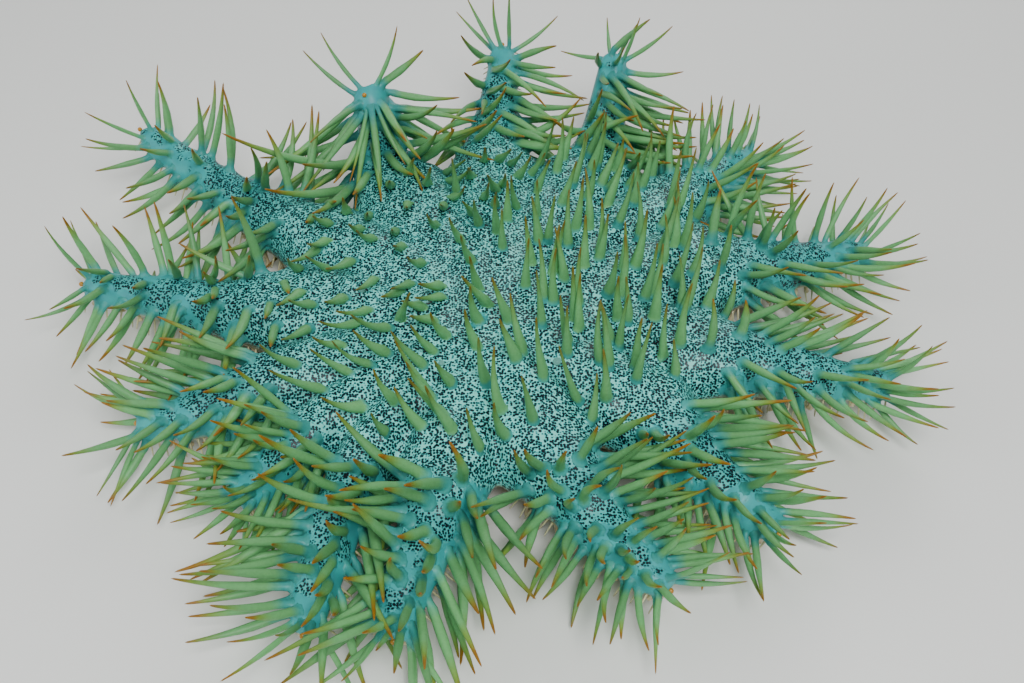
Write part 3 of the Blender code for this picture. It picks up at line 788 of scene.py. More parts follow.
# How much they vary: share of the arm's length, angle round it, direction and length.
HANGING_SLIP = 0.04
HANGING_TURN = 8.0
HANGING_WANDER = 0.14
HANGING_SPREAD = 0.12
HANGING_LAST = 0.97
HANGING_OUTWARD = 0.3
# Thorns set in the gaps that are left on the disc and on the roots of the arms: room kept
# to the roots of the others, height of the lowest root, and how much they vary.
GAP_TRIES = 420
GAP_REACH = 98.0
GAP_ROOM = 8.6
GAP_LENGTH = 19.0
GAP_LOWEST = 17.0
GAP_WANDER = 0.16
GAP_SPREAD = 0.2
GAP_OUTWARD = 0.25
GAP_WIDTH = 0.95
GAP_WIDTH_SPREAD = 0.2
# Arms whose thorns are longer than those of the others: gain of those that point to the
# camera and of those that point aside.
LONGER = {"arm_05": (1.42, 1.18), "arm_10": (1.14, 1.14), "arm_11": (1.14, 1.14)}
# A thorn points to the camera below this y of its direction, and keeps its length above
# this z.
POINTS_TO_CAMERA = -0.4
STANDS_UP = 0.45
# Arms whose thorns on the side near the camera droop, and how far.
DROOPING = {"arm_06": (0.30, -0.42, -0.10), "arm_07": (0.42, -0.55, -0.14),
            "arm_08": (0.25, -0.40, -0.08)}
# Only thorns with a direction below this y and beyond this x droop.
DROOPS_BEFORE_Y = -0.1
DROOPS_BEYOND_X = -0.75
# Every thorn curls more than the solids' spines do, and each a little its own way.
CURL_GAIN = 1.9
CURL_WANDER = 0.16
# A thorn that comes too near the floor is turned up step by step.
THORN_FLOOR_ROOM = 0.8
FLOOR_SHARES = (0.0, 0.12, 0.25, 0.4, 0.6, 0.8, 1.0)
FLOOR_TRIALS = 40
FLOOR_RISE = 0.08
FLOOR_RISE_BENT = 1.5
LOWEST_POINT = 0.15

# A thorn above its foot: share of the rest of its length and share of its widest radius.
THORN_PROFILES = {
    "disc": ((0.0, 1.0), (0.09, 0.90), (0.20, 0.79), (0.33, 0.66), (0.47, 0.53),
             (0.62, 0.41), (0.77, 0.31), (0.90, 0.23), (0.97, 0.15)),
    "arm": ((0.0, 0.88), (0.09, 0.82), (0.20, 0.85), (0.32, 0.87), (0.46, 0.75),
            (0.61, 0.57), (0.76, 0.41), (0.89, 0.28), (0.97, 0.17)),
}
THORN_LEVELS = 9
THORN_SIDES = 8
THORN_WIDTH = 1.95
THORN_FLATNESS = 0.88
# The foot of a thorn: a ring hidden under the skin, then three rings that run from the skin
# up the thorn in a hollow curve.  Its reach is a share of the thorn's own radius there.
FOOT_RINGS = (0.0, 0.30, 0.62)
FOOT_HEIGHT = 3.0
FOOT_REACH = {"disc": 1.5, "arm": 2.3}
FOOT_SUNK = 0.10
FOOT_HIDDEN = 0.7
FOOT_DRAWN_IN = 0.15
# Where the search for the skin under a thorn's root starts, and how far it goes.
ROOT_SEARCH_START = 5.0
ROOT_SEARCH = 14.0

# Skin: size of its mesh and its smoothing, before and after the mounds rise.
SKIN_VOXEL = 1.25
SKIN_SMOOTHING = 9
SKIN_SMOOTHING_FORCE = 0.6
MOUND_SMOOTHING_FORCE = 0.5
# The arms of the skin: points round them, rings along them and how close they stay in.
FINE_SECTION = 36
FINE_STATIONS = 26
LAST_STATION = 0.997
SKIN_INSET = 0.985
# Rings of an arm's skin inside the disc: how far back, and how much smaller.
ROOT_RINGS = (14.0, 7.0)
ROOT_RING_SIZE = 0.96
# Mound of the skin round a thorn, and how far the skin stays smooth there.
MOUND_HEIGHT = 1.5
MOUND_RADIUS = 3.4
MOUND_SEARCH = 2.4
BARE_REACH = 4.0

# The dimple where the ridges of the disc meet: place, depth, width and smooth edge.
DIMPLE = (-15.0, -33.0)
DIMPLE_DEPTH = 1.7
DIMPLE_RADIUS = 2.3
DIMPLE_BARE = 6.0
DIMPLE_BARENESS = 4.0

# Where the skin is smooth membrane without pits: strength and shares of an arm's length.
WEB_BARENESS = 0.38
WEB_FULL_AT = 0.18
TIP_BARENESS = 0.62
TIP_BARE_FROM = 0.50
FOOT_BARENESS = 0.16
ARM_FOOT_BARENESS = 0.22
# Share of an arm's length at which its grains are at their dullest.
DULL_AT = 0.35
# How far the skin faces down where it turns pale, and over what share it does.
PALE_FROM = 0.15
PALE_BLEND = 0.45

# How deep the small parts are sunk into the skin, and how far their roots are looked for.
PART_SUNK = 1.0
PART_SEARCH = 25.0
# Raised arms have small parts on their undersides up to this share of their length.
RAISED_LAST = 0.55

# Tube feet: drop and growth of each ring from the root to the sucker, and the hollow of the
# sucker (width of its rim and depth).
TUBE_SIDES = 10
TUBE_PROFILE = ((0.35, 0.72), (0.40, 1.0), (0.10, 1.25), (0.09, 1.35), (0.06, 1.0))
SUCKER_HOLLOW = (0.35, 0.04)
TUBE_ROUGHNESS = 0.35
TUBE_PAIRS = 9
TUBE_FIRST = 0.05
TUBE_SPAN = 0.88
TUBE_ROWS = (0.30, 0.62)
TUBE_OUTER_ROW = 0.5
TUBE_WANDER = 0.22
TUBE_LENGTH = 5.5
TUBE_LENGTH_SPREAD = 0.25
TUBE_SHORTENING = 0.4
TUBE_SHORTEST = 1.0
TUBE_WIDTH = 1.15
TUBE_NARROWING = 0.35
TUBE_WIDTH_SPREAD = 0.15
# An outer tube foot whose root is no higher than this stands on the floor.
TUBE_STANDING = 11.0
FACES_DOWN = -0.5
# Room to the floor of a tube foot that stands on it, and of the others.
FOOT_CLEAR = 0.55
TUBE_FLOOR_ROOM = 0.3

# Eye spots, one at the tip of each arm.
EYE_RADIUS = 1.0
EYE_SEGMENTS = 14
EYE_RINGS = 9
EYE_ROUGHNESS = 0.3

# Furrow spines: rings from the root, and length by place across the half width.
FURROW_SIDES = 6
FURROW_PROFILE = ((0.5, 0.86), (0.38, 0.75), (0.12, 0.55))
FURROW_COUNT = 22
FURROW_FIRST = 0.04
FURROW_SPAN = 0.92
FURROW_ROWS = {0.12: 4.2, 0.86: 6.5}
FURROW_UPRIGHT = 0.35
FURROW_SPLAY = 1.2
FURROW_WANDER = 0.12
FURROW_WIDTH = 0.42
FURROW_WIDTH_SPREAD = 0.1
FURROW_LENGTH_SPREAD = 0.15
FURROW_SHORTEST = 0.6
FURROW_ROUGHNESS = 0.45
FURROW_FLOOR_ROOM = 0.4
# Mouth spines, in two rings that lean in over the mouth.
MOUTH_COUNT = 28
MOUTH_REACHES = (9.0, 12.5)
MOUTH_SEARCH_HEIGHT = 0.1
MOUTH_LEAN = 0.45
MOUTH_LENGTH = 5.0
MOUTH_WIDTH = 0.6

# Sieve plates: a low dome with a groove round its top.
PLATE_SIDES = 20
PLATE_PROFILE = ((0.55, 1.0), (0.28, 0.9), (0.12, 0.72), (-0.14, 0.86), (0.16, 0.74),
                 (0.03, 0.4))
PLATE_COUNT = 9
PLATE_REACH = 58.0
PLATE_REACH_SPREAD = 0.1
PLATE_SLIP = 0.2
PLATE_SUNK = 0.6
PLATE_RADIUS = 1.35
PLATE_RADIUS_SPREAD = 0.2
PLATE_HEIGHT = 1.2
PLATE_ROUGHNESS = 0.6
# Height over the disc from which the skin is looked for.
ABOVE_SKIN = 12.0

# Stage: camera in millimetres from the middle of the disc on the floor; the rest in metres.
CAMERA_PLACE = (-2.69, -323.74, 329.32)
CAMERA_SENSOR = 36.0
CAMERA_NEAR = 0.01
FLOOR_SIZE = 6.0
FLOOR_ROUGHNESS = 0.9
SKY_COLOUR = "#DCE6E8"
SKY_STRENGTH = 0.15
LIGHT_AIM = (0.0, 0.0, 0.02)
# Each light: place, size and share of the key light's power.
LIGHTS = {
    "key": ((0.16, -0.55, 0.85), 0.35, 1.0),
    "fill": ((-0.75, -0.15, 0.55), 0.7, 0.35),
    "rim": ((0.2, 0.8, 0.6), 0.6, 0.45),
}

# Layout of the thorns on the skin's unwrap: the disc in one corner, then one cell for each
# arm, in rows of six.  A thorn takes up one small patch where its root lies.
ATLAS_SCALE = 1.0 / 520.0
ATLAS_DISC = 0.21
ATLAS_COLUMNS = 6
ATLAS_FIRST = (0.08, 0.43)
ATLAS_STEP = (0.16, 0.19)
ATLAS_ARM_SCALE = (0.85, 0.80)
ATLAS_NARROWEST = 8.0
ATLAS_ROUND = 0.8
THORN_PATCH = 0.003


def linear(text):
    """Return a hex sRGB colour as linear RGBA."""
    values = [int(text[i:i + 2], 16) / 255 for i in (1, 3, 5)]
    return tuple(v / 12.92 if v <= 0.04045 else ((v + 0.055) / 1.055) ** 2.4
                 for v in values) + (1.0,)


def colour_prop(name, description, text):
    """Return a colour property whose default is a hex sRGB colour."""
    return bpy.props.FloatVectorProperty(name=name, description=description, subtype="COLOR",
                                         size=4, min=0.0, max=1.0, default=linear(text))


class StarfishSkin(bpy.types.PropertyGroup):
    """Colours and sizes of the skin."""
    ground: colour_prop("Ground", "Teal skin between the pits", "#34AEAC")
    shade: colour_prop("Shade", "Darker skin in broad patches", "#1F8A8C")
    speck: colour_prop("Pit", "Dark blue-black pits", "#00101C")
    grain: colour_prop("Grain", "Palest grains", "#7FE0D6")
    membrane: colour_prop("Membrane", "Smooth skin without pits", "#37999E")
    belly: colour_prop("Belly", "Underside skin", "#C9BD96")
    speck_size: bpy.props.FloatProperty(name="Speck size", description="Spacing of the pits",
                                        default=0.00094, unit="LENGTH")
    roughness: bpy.props.FloatProperty(name="Roughness", description="Roughness of moist skin",
                                       default=0.46, min=0.0, max=1.0)


class StarfishThorns(bpy.types.PropertyGroup):
    """Colours of the thorns and of the small parts."""
    foot: colour_prop("Foot", "Where a thorn leaves the skin", "#3A9A94")
    shaft: colour_prop("Shaft", "Grey-green body of a thorn", "#6AAB6C")
    upper: colour_prop("Upper", "Upper part of an arm's thorn", "#74933A")
    point: colour_prop("Point", "Orange-brown point of an arm's thorn", "#8A600E")
    disc_upper: colour_prop("Disc upper", "Upper part of a thorn of the disc", "#638E48")
    disc_point: colour_prop("Disc point", "Olive-brown point of a thorn of the disc", "#6A5E16")
    tube: colour_prop("Tube foot", "Soft tube feet", "#D8C9A0")
    eye: colour_prop("Eye spot", "Light spot at the tip of an arm", "#B8801F")
    plate: colour_prop("Sieve plate", "Pale sieve plates", "#5FA49A")
    furrow: colour_prop("Furrow", "Short spines of the underside", "#C9C49A")


class StarfishStage(bpy.types.PropertyGroup):
    """Camera and light."""
    elevation: bpy.props.FloatProperty(name="Elevation", description="Camera above the horizon",
                                       default=math.radians(46.0), subtype="ANGLE")
    lens: bpy.props.FloatProperty(name="Lens", description="Focal length", default=39.8,
                                  subtype="DISTANCE_CAMERA")
    key: bpy.props.FloatProperty(name="Key light", description="Power of the soft key light",
                                 default=9.5, unit="POWER")
    floor: colour_prop("Floor", "Plain pale floor", "#F0F1EE")


def settings():
    """Return the three groups of settings."""
    scene = bpy.context.scene
    return scene.starfish_skin, scene.starfish_thorns, scene.starfish_stage


def add_node(tree, kind, values=None, **options):
    """Add one shader node, set its options and the values of its sockets."""
    made = tree.nodes.new(kind)
    for name, value in options.items():
        setattr(made, name, value)
    for name, value in (values or {}).items():
        if isinstance(value, bpy.types.NodeSocket):
            tree.links.new(value, made.inputs[name])
        else:
            made.inputs[name].default_value = value
    return made


def ramp(tree, value, stops, smooth=False):
    """Return the colour socket of a ramp over a value."""
    made = add_node(tree, "ShaderNodeValToRGB", {"Fac": value})
    strip = made.color_ramp
    strip.interpolation = "EASE" if smooth else "LINEAR"
    while len(strip.elements) < len(stops):
        strip.elements.new(0.5)
    for element, (place, colour) in zip(strip.elements, stops):
        element.position = place
        element.color = colour if not isinstance(colour, float) else (colour,) * 3 + (1.0,)
    return made.outputs["Color"]


def mixed(tree, share, first, second, blend="MIX"):
    """Return the colour socket of a mix of two colours."""
    made = add_node(tree, "ShaderNodeMix", data_type="RGBA", blend_type=blend)
    for place, value in ((0, share), (6, first), (7, second)):
        if isinstance(value, bpy.types.NodeSocket):
            tree.links.new(value, made.inputs[place])
        else:
            made.inputs[place].default_value = value
    return made.outputs[2]


def calculated(tree, operation, first, second=0.0, clamp=False):
    """Return the value socket of a sum on two values."""
    made = add_node(tree, "ShaderNodeMath", operation=operation, use_clamp=clamp)
    for place, value in ((0, first), (1, second)):
        if isinstance(value, bpy.types.NodeSocket):
            tree.links.new(value, made.inputs[place])
        else:
            made.inputs[place].default_value = value
    return made.outputs[0]


def noise(tree, place, scale, detail=2.0):
    """Return the value socket of a noise with the given number of waves in a metre."""
    made = add_node(tree, "ShaderNodeTexNoise", {"Vector": place, "Scale": scale,
                                                 "Detail": detail})
    return made.outputs["Fac"]


def varied(tree, value, wave, amount):
    """Return the value socket of a value moved up and down by a wave round one half."""
    centred = calculated(tree, "SUBTRACT", wave, 0.5)
    return calculated(tree, "ADD", value, calculated(tree, "MULTIPLY", centred, amount))


def new_material(name):
    """Return a new node material, its tree, its shader and its object coordinates."""
    made = bpy.data.materials.new(name)
    made.use_nodes = True
    tree = made.node_tree
    shader = tree.nodes["Principled BSDF"]
    place = add_node(tree, "ShaderNodeTexCoord").outputs["Object"]
    return made, tree, shader, place


def value_of(tree, name):
    """Return the value socket of a named attribute of the mesh."""
    return add_node(tree, "ShaderNodeAttribute", attribute_name=name).outputs["Fac"]


def bumped(tree, shader, height, strength, distance):
    """Join a height to the shader's normal."""
    made = add_node(tree, "ShaderNodeBump", {"Height": height, "Strength": strength,
                                             "Distance": distance})
    tree.links.new(made.outputs["Normal"], shader.inputs["Normal"])


# How moist and how soft each tissue is; radii in metres.
SKIN_FINISH = {
    "Specular IOR Level": 0.32, "Coat Weight": 0.08, "Coat Roughness": 0.3,
    "Subsurface Weight": 0.05, "Subsurface Radius": (0.0008, 0.0014, 0.0016),
    "Subsurface Scale": 1.0,
}
THORN_FINISH = {
    "Roughness": 0.5, "Specular IOR Level": 0.36, "Coat Weight": 0.1, "Coat Roughness": 0.35,
    "Subsurface Weight": 0.12, "Subsurface Radius": (0.0016, 0.0018, 0.0010),
    "Subsurface Scale": 1.0,
}
# Waves in a metre: broad patches, membrane patches and unevenness of the skin, streaks and
# grain of a thorn, and mottling of the small parts.
BROAD_WAVES = 38.0
PATCH_WAVES = 75.0
UNEVEN_WAVES = 210.0
STREAK_WAVES = 160.0
GRAIN_WAVES = 900.0
MOTTLE_WAVES = 240.0
# Skin: how unevenly the pits stand, how ragged their edges are, how much the grains dull
# along the arms, how patchy the membrane is, and how much painted shade darkens the dimple.
PIT_RANDOMNESS = 0.8
PIT_RAGGEDNESS = 0.16
GRAIN_DULLING = 0.7
MEMBRANE_PATCHINESS = 1.5
DIMPLE_SHADE_PAINTED = 0.85
# Ramps of the skin over the distance from a pit's middle, and of the membrane.
PIT_EDGE = ((0.45, 1.0), (0.49, 0.0))
GRAIN_EDGE = ((0.53, 0.0), (0.66, 1.0))
PIT_WALL = ((0.42, 0.0), (0.54, 1.0))
BROAD_RAMP = ((0.35, 0.0), (0.65, 1.0))
MEMBRANE_RAMP = ((0.3, 0.0), (0.75, 1.0))
MEMBRANE_EDGE = ((0.46, 0.0), (0.60, 1.0))
# Strength and depth of the fine relief, the depth in metres.
PIT_RELIEF = (0.5, 0.0004)
GRAIN_RELIEF = (0.35, 0.0003)
# Thorns: how far streaks and tint shift the colours along a thorn, and how light varies.
STREAK_SHIFT = 0.16
TINT_SHIFT = 0.12
THORN_LIGHT = ((0.2, 0.80), (0.8, 1.18))
MOTTLE_LIGHT = ((0.3, 0.78), (0.7, 1.12))


def finished(shader, finish):
    """Set a tissue's finish on a shader."""
    for name, value in finish.items():
        shader.inputs[name].default_value = value


def skin_material():
    """Moist speckled skin: small blue-black pits close together in teal skin, with pale
    cyan grains between them.  The speckle gives way to smooth membrane where the skin is
    bare; painted shade darkens the dimple's hollow, and the underside is pale."""
    skin, _, _ = settings()
    made, tree, shader, place = new_material("moist speckled starfish skin")
    pits = add_node(tree, "ShaderNodeTexVoronoi", {"Vector": place,
                                                   "Scale": 1.0 / skin.speck_size,
                                                   "Randomness": PIT_RANDOMNESS},
                    feature="F1")
    broad = noise(tree, place, BROAD_WAVES, 3.0)
    uneven = noise(tree, place, UNEVEN_WAVES)
    from_pit = varied(tree, pits.outputs["Distance"], uneven, PIT_RAGGEDNESS)
    dark = ramp(tree, from_pit, PIT_EDGE)
    pale = ramp(tree, from_pit, GRAIN_EDGE)
    dulling = calculated(tree, "MULTIPLY", value_of(tree, "outer"), GRAIN_DULLING)
    pale = calculated(tree, "MULTIPLY", pale, calculated(tree, "SUBTRACT", 1.0, dulling))
    ground = mixed(tree, ramp(tree, broad, BROAD_RAMP, True), skin.shade, skin.ground)
    speckled = mixed(tree, pale, ground, skin.grain)
    speckled = mixed(tree, dark, speckled, skin.speck)
    patchy = varied(tree, value_of(tree, "bare"), noise(tree, place, PATCH_WAVES),
                    MEMBRANE_PATCHINESS)
    smooth = ramp(tree, patchy, MEMBRANE_EDGE, True)
    membrane = mixed(tree, ramp(tree, uneven, MEMBRANE_RAMP), skin.membrane, skin.ground)
    covered = mixed(tree, smooth, speckled, membrane)
    # Painted shade: the dimple's hollow is darkened towards the pits' colour.
    shaded_dimple = calculated(tree, "MULTIPLY", value_of(tree, "hole"), DIMPLE_SHADE_PAINTED)
    covered = mixed(tree, shaded_dimple, covered, skin.speck)
    full = mixed(tree, value_of(tree, "under"), covered, skin.belly)
    tree.links.new(full, shader.inputs["Base Color"])
    shader.inputs["Roughness"].default_value = skin.roughness
    finished(shader, SKIN_FINISH)
    height = calculated(tree, "MULTIPLY", ramp(tree, from_pit, PIT_WALL),
                        calculated(tree, "SUBTRACT", 1.0, smooth, clamp=True))
    bumped(tree, shader, height, *PIT_RELIEF)
    return made


def thorn_material():
    """Thorn under living skin: grey-green tissue, fine-grained and a little waxy, thins to
    orange-brown over the point, or to olive-brown on the disc, which gives each thorn its
    tip."""
    _, thorns, _ = settings()
    made, tree, shader, place = new_material("grey-green thorn with orange point")
    tint = value_of(tree, "tint")
    grain = noise(tree, place, GRAIN_WAVES)
    streak = noise(tree, place, STREAK_WAVES)
    spot = varied(tree, value_of(tree, "along"), streak, STREAK_SHIFT)
    spot = varied(tree, spot, tint, TINT_SHIFT)
    foot = tuple(thorns.foot)
    shaft = tuple(thorns.shaft)
    on_arm = ramp(tree, spot, ((0.0, foot), (0.06, foot), (0.20, shaft), (0.56, shaft),
                               (0.79, tuple(thorns.upper)), (0.92, tuple(thorns.point))))
    on_disc = ramp(tree, spot, ((0.0, foot), (0.01, foot), (0.09, shaft), (0.50, shaft),
                                (0.78, tuple(thorns.disc_upper)),
                                (0.94, tuple(thorns.disc_point))))
    body = mixed(tree, value_of(tree, "warm"), on_disc, on_arm)
    light = ramp(tree, calculated(tree, "ADD", calculated(tree, "MULTIPLY", tint, 0.5),
                                  calculated(tree, "MULTIPLY", grain, 0.5)), THORN_LIGHT)
    full = mixed(tree, 1.0, body, light, "MULTIPLY")
    tree.links.new(full, shader.inputs["Base Color"])
    finished(shader, THORN_FINISH)
    bumped(tree, shader, grain, *GRAIN_RELIEF)
    return made


def tissue_material(name, colour, roughness):
    """Soft moist tissue with a faint mottling, so that it doesn't look like plastic."""
    made, tree, shader, place = new_material(name)
    light = ramp(tree, noise(tree, place, MOTTLE_WAVES, 3.0), MOTTLE_LIGHT)
    full = mixed(tree, 1.0, tuple(colour), light, "MULTIPLY")
    tree.links.new(full, shader.inputs["Base Color"])
    finished(shader, {"Roughness": roughness, "Coat Weight": 0.2})
    return made


def mesh_points(data):
    """Return the corners of a mesh as an array."""
    points = np.empty(len(data.vertices) * 3)
    data.vertices.foreach_get("co", points)
    return points.reshape(-1, 3)


def set_values(data, name, values):
    """Store one number for each corner of a mesh."""
    store = data.attributes.new(name, "FLOAT", "POINT")
    store.data.foreach_set("value", np.asarray(values, dtype=np.float32))


def pick(piece):
    """Make a piece the only selected and the active one."""
    bpy.ops.object.select_all(action="DESELECT")
    piece.select_set(True)
    bpy.context.view_layer.objects.active = piece


def shade_smooth(piece):
    """Shade a piece smooth."""
    pick(piece)
    bpy.ops.object.shade_smooth()


def join_pieces(pieces, name):
    """Join pieces into the first of them, name it and return it."""
    bpy.ops.object.select_all(action="DESELECT")
    for piece in pieces:
        piece.select_set(True)
    bpy.context.view_layer.objects.active = pieces[0]
    bpy.ops.object.join()
    whole = bpy.context.view_layer.objects.active
    whole.name = name
    whole.data.name = name
    return whole


class CloseThicket(Thicket):
    """A thicket in which, once asked, new thorns may stand closer together."""

    def __init__(self, bodies):
        super().__init__(bodies)
        self.slim = 1.0

    def clear_of_bodies(self, name, spine):
        """Test a thorn against the bodies at its slimmed width."""
        return super().clear_of_bodies(name, spine._replace(width=spine.width * self.slim))

    def clear_of_spines(self, name, spine):
        """Test a thorn against the others at its slimmed width."""
        return super().clear_of_spines(name, spine._replace(width=spine.width * self.slim))


class Growth:
    """The animal's form, worked out once and shared by the pieces."""

    def __init__(self):
        self.bodies, self.nodes = all_bodies()
        self.paths = [arm_path(index) for index in range(len(ARMS))]
        self.thicket = CloseThicket(self.bodies)
        grown = set_all(self.thicket, self.nodes)
        self.thicket.slim = FINE_SLIMMING
        self.groups = {"disc": grown["disc"]}
        for arm, nodes in zip(ARMS, self.nodes):
            self.groups[arm.name] = [each for name in nodes for each in grown[name]]
        self.hang_thorns(random.Random(FINE_SEED))
        self.groups["disc"] += disc_spines(self.thicket, FINE_DISC_COUNT, FINE_SEED)
        for index, (arm, nodes) in enumerate(zip(ARMS, self.nodes)):
            rows = FINE_ROWS if arm.name in DENSE_ARMS else SPARSE_ROWS
            grown = arm_spines(index, self.thicket, nodes, rows, FINE_FAN_COUNT, FINE_SEED)
            self.groups[arm.name] += [each for name in nodes for each in grown[name]]
        self.skin_tree = None
        self.fill_gaps(random.Random(FINE_SEED))

    def group_of(self, node):
        """Return the group to which a node's thorns belong."""
        for arm, nodes in zip(ARMS, self.nodes):
            if node in nodes:
                return arm.name
        return "disc"

    def hang_thorns(self, rng):
        """Set the long thorns that hang from the raised arms towards the camera."""
        for index, towards, aside in HANGING_ARMS:
            for share in HANGING_SHARES:
                for degrees in HANGING_ANGLES:
                    self.hang_thorn(index, towards, aside, share, degrees, rng)

    def hang_thorn(self, index, towards, aside, share, degrees, rng):
        """Set one thorn on a raised arm, at a share of its length and an angle round it."""
        arm = ARMS[index]
        angle = math.radians(degrees + rng.uniform(-HANGING_TURN, HANGING_TURN))
        slipped = share + rng.uniform(-HANGING_SLIP, HANGING_SLIP)
        here = frame_at(self.paths[index], min(HANGING_LAST, slipped))
        out = here.up * math.cos(angle) + here.side * math.sin(angle)
        name = self.nodes[index][-1 if share > arm.divide else 0]
        root, normal = self.thicket.surface(name, here.centre, out)
        if root is None:
            return
        way = Vector(towards) + normal * HANGING_OUTWARD
        way += here.side * (math.sin(angle) * aside)
        way = (way + random_lean(rng, HANGING_WANDER)).normalized()
        length = HANGING_LENGTH * spread(rng, HANGING_SPREAD)
        spine = self.thicket.settle(name, root, normal, way, length, HANGING_WIDTH, DOWN)
        if spine:
            self.groups[arm.name].append((spine, rng.uniform(0.0, math.pi)))

    def fill_gaps(self, rng):
        """Set thorns where the disc and the roots of the arms are still bare."""
        roots = [spine.root for group in self.groups.values() for spine, _ in group]
        for _ in range(GAP_TRIES):
            angle = rng.uniform(0.0, 2.0 * math.pi)
            reach = GAP_REACH * math.sqrt(rng.random())
            x = reach * math.cos(angle)
            y = reach * math.sin(angle)
            name, root, normal = self.highest_at(x, y)
            if root is None or root.z < GAP_LOWEST:
                continue
            if min((root - other).length for other in roots) < GAP_ROOM:
                continue
            way = (UP + disc_lean(x, y) + random_lean(rng, GAP_WANDER)).normalized()
            way = (way + normal * GAP_OUTWARD).normalized()
            length = GAP_LENGTH * spread(rng, GAP_SPREAD)
            width = GAP_WIDTH + GAP_WIDTH_SPREAD * rng.random()
            spine = self.thicket.settle(name, root, normal, way, length, width, DISC_BEND)
            if spine:
                roots.append(root)
                self.groups[self.group_of(name)].append((spine, rng.uniform(0.0, math.pi)))

    def highest_at(self, x, y):
        """Return the node whose surface is the highest at a place, its point and normal."""
        start = Vector((x, y, DISC_TOP + ABOVE_SOLIDS))
        highest = None, None, None
        for name in self.bodies:
            root, normal = self.thicket.surface(name, start, DOWN)
            if root is None:
                continue
            if highest[1] is None or root.z > highest[1].z:
                highest = name, root, normal
        return highest


# Holds the form under the name "form", once it is made.
GROWN = {}


def growth():
    """Return the animal's form, made on the first call."""
    if "form" not in GROWN:
        GROWN["form"] = Growth()
    return GROWN["form"]


def shifted(point):
    """Return a point of the tables as metres in the shared frame."""
    return ((point[0] + DISC_X) * MM, (point[1] + DISC_Y) * MM, point[2] * MM)


def skin_hit(form, start, way, reach):
    """Return where a ray meets the skin, in the tables' frame, and the normal there, or
    None for both."""
    found, normal, _, _ = form.skin_tree.ray_cast(Vector(shifted(start)), way, reach * MM)
    if found is None:
        return None, None
    return Vector((found.x / MM - DISC_X, found.y / MM - DISC_Y, found.z / MM)), normal


def smooth_section():
    """Return the arm's cross-section as a smooth closed curve."""
    count = len(SECTION)
    points = []
    for step in range(FINE_SECTION):
        place = step * count / FINE_SECTION
        i = int(place)
        t = place - i
        a, b, c, d = (SECTION[(i + k) % count] for k in (-1, 0, 1, 2))
        points.append(tuple(
            0.5 * (2 * b[k] + (c[k] - a[k]) * t + (2 * a[k] - 5 * b[k] + 4 * c[k] - d[k]) * t * t
                   + (3 * b[k] - a[k] - 3 * c[k] + d[k]) * t ** 3) for k in (0, 1)))
    return points


def smooth_arm(frames):
    """Return points and faces of one arm of the skin, its root inside the disc."""
    outline = smooth_section()
    rings = []
    root = frames[0]
    for back in ROOT_RINGS:
        rings.append([root.centre - root.forward * back
                      + root.side * (u * root.half_width * ROOT_RING_SIZE)
                      + root.up * (v * root.half_height * ROOT_RING_SIZE)
                      for u, v in outline])
    for step in range(FINE_STATIONS):
        share = math.sin(math.pi / 2 * step / (FINE_STATIONS - 1)) * LAST_STATION
        place = share * PATH_STEPS
        low = int(place)
        before = frames[low]
        after = frames[min(low + 1, PATH_STEPS)]
        blend = place - low
        centre = before.centre.lerp(after.centre, blend)
        wide = before.half_width * (1 - blend) + after.half_width * blend
        high = before.half_height * (1 - blend) + after.half_height * blend
        rings.append([centre + before.side * (u * wide * SKIN_INSET)
                      + before.up * (v * high * SKIN_INSET) for u, v in outline])
    return loft(rings, frames[-1].centre)


def join_meshes(name, parts):
    """Return one object at the origin made from several sets of points and faces."""
    points = []
    faces = []
    for part_points, part_faces in parts:
        first = len(points)
        points += [shifted(point) for point in part_points]
        faces += [tuple(first + i for i in face) for face in part_faces]
    data = bpy.data.meshes.new(name)
    data.from_pydata(points, [], faces)
    data.update()
    made = bpy.data.objects.new(name, data)
    bpy.context.scene.collection.objects.link(made)
    return made


def turn_outward(piece):
    """Turn the faces of a closed piece outward with the edit tools."""
    pick(piece)
    bpy.ops.object.mode_set(mode="EDIT")
    bpy.ops.mesh.select_all(action="SELECT")
    bpy.ops.mesh.normals_make_consistent(inside=False)
    bpy.ops.object.mode_set(mode="OBJECT")


def apply_modifier(piece, kind, **options):
    """Add one modifier with its options and apply it."""
    pick(piece)
    made = piece.modifiers.new(kind.title(), kind)
    for name, value in options.items():
        setattr(made, name, value)
    bpy.ops.object.modifier_apply(modifier=made.name)


def dimple(points):
    """Return, for each corner of the skin, how deep the dimple of the disc is there, how
    bare it makes the skin and how much painted shade darkens it."""
    middle = np.array(shifted((DIMPLE[0], DIMPLE[1], 0.0)))
    apart = np.hypot(points[:, 0] - middle[0], points[:, 1] - middle[1]) / MM
    on_top = points[:, 2] > DISC_TOP * 0.5 * MM
    depth = np.exp(-(apart / DIMPLE_RADIUS) ** 2) * on_top * DIMPLE_DEPTH * MM
    near = np.exp(-(apart / DIMPLE_BARE) ** 4) * on_top * DIMPLE_BARENESS
    # Painted shade for the dimple's hollow, strongest at its middle.
    hole = np.exp(-(apart / DIMPLE_RADIUS) ** 4) * on_top
    return depth, near, hole


def skin_relief(points, form):
    """Return how far each corner of the skin moves, for the dimple and for the mound that
    rises round the foot of each thorn, how near it is to either, and how much painted shade
    darkens the dimple there."""
    tree = KDTree(len(points))
    for i, point in enumerate(points):
        tree.insert(point, i)
    tree.balance()
    depth, near, hole = dimple(points)
    lift = np.zeros_like(points)
    lift[:, 2] -= depth
    for group in form.groups.values():
        for spine, _ in group:
            root = Vector(shifted(spine.root))
            way = np.array(spine.way)
            radius = MOUND_RADIUS * spine.width
            smooth_reach = BARE_REACH * spine.width * MM
            for _, i, apart in tree.find_range(root, MOUND_SEARCH * radius * MM):
                share = math.exp(-(apart / (radius * MM)) ** 2)
                lift[i] += way * (MOUND_HEIGHT * spine.width * share * MM)
                near[i] = max(near[i], math.exp(-(apart / smooth_reach) ** 4))
    return lift, near, hole


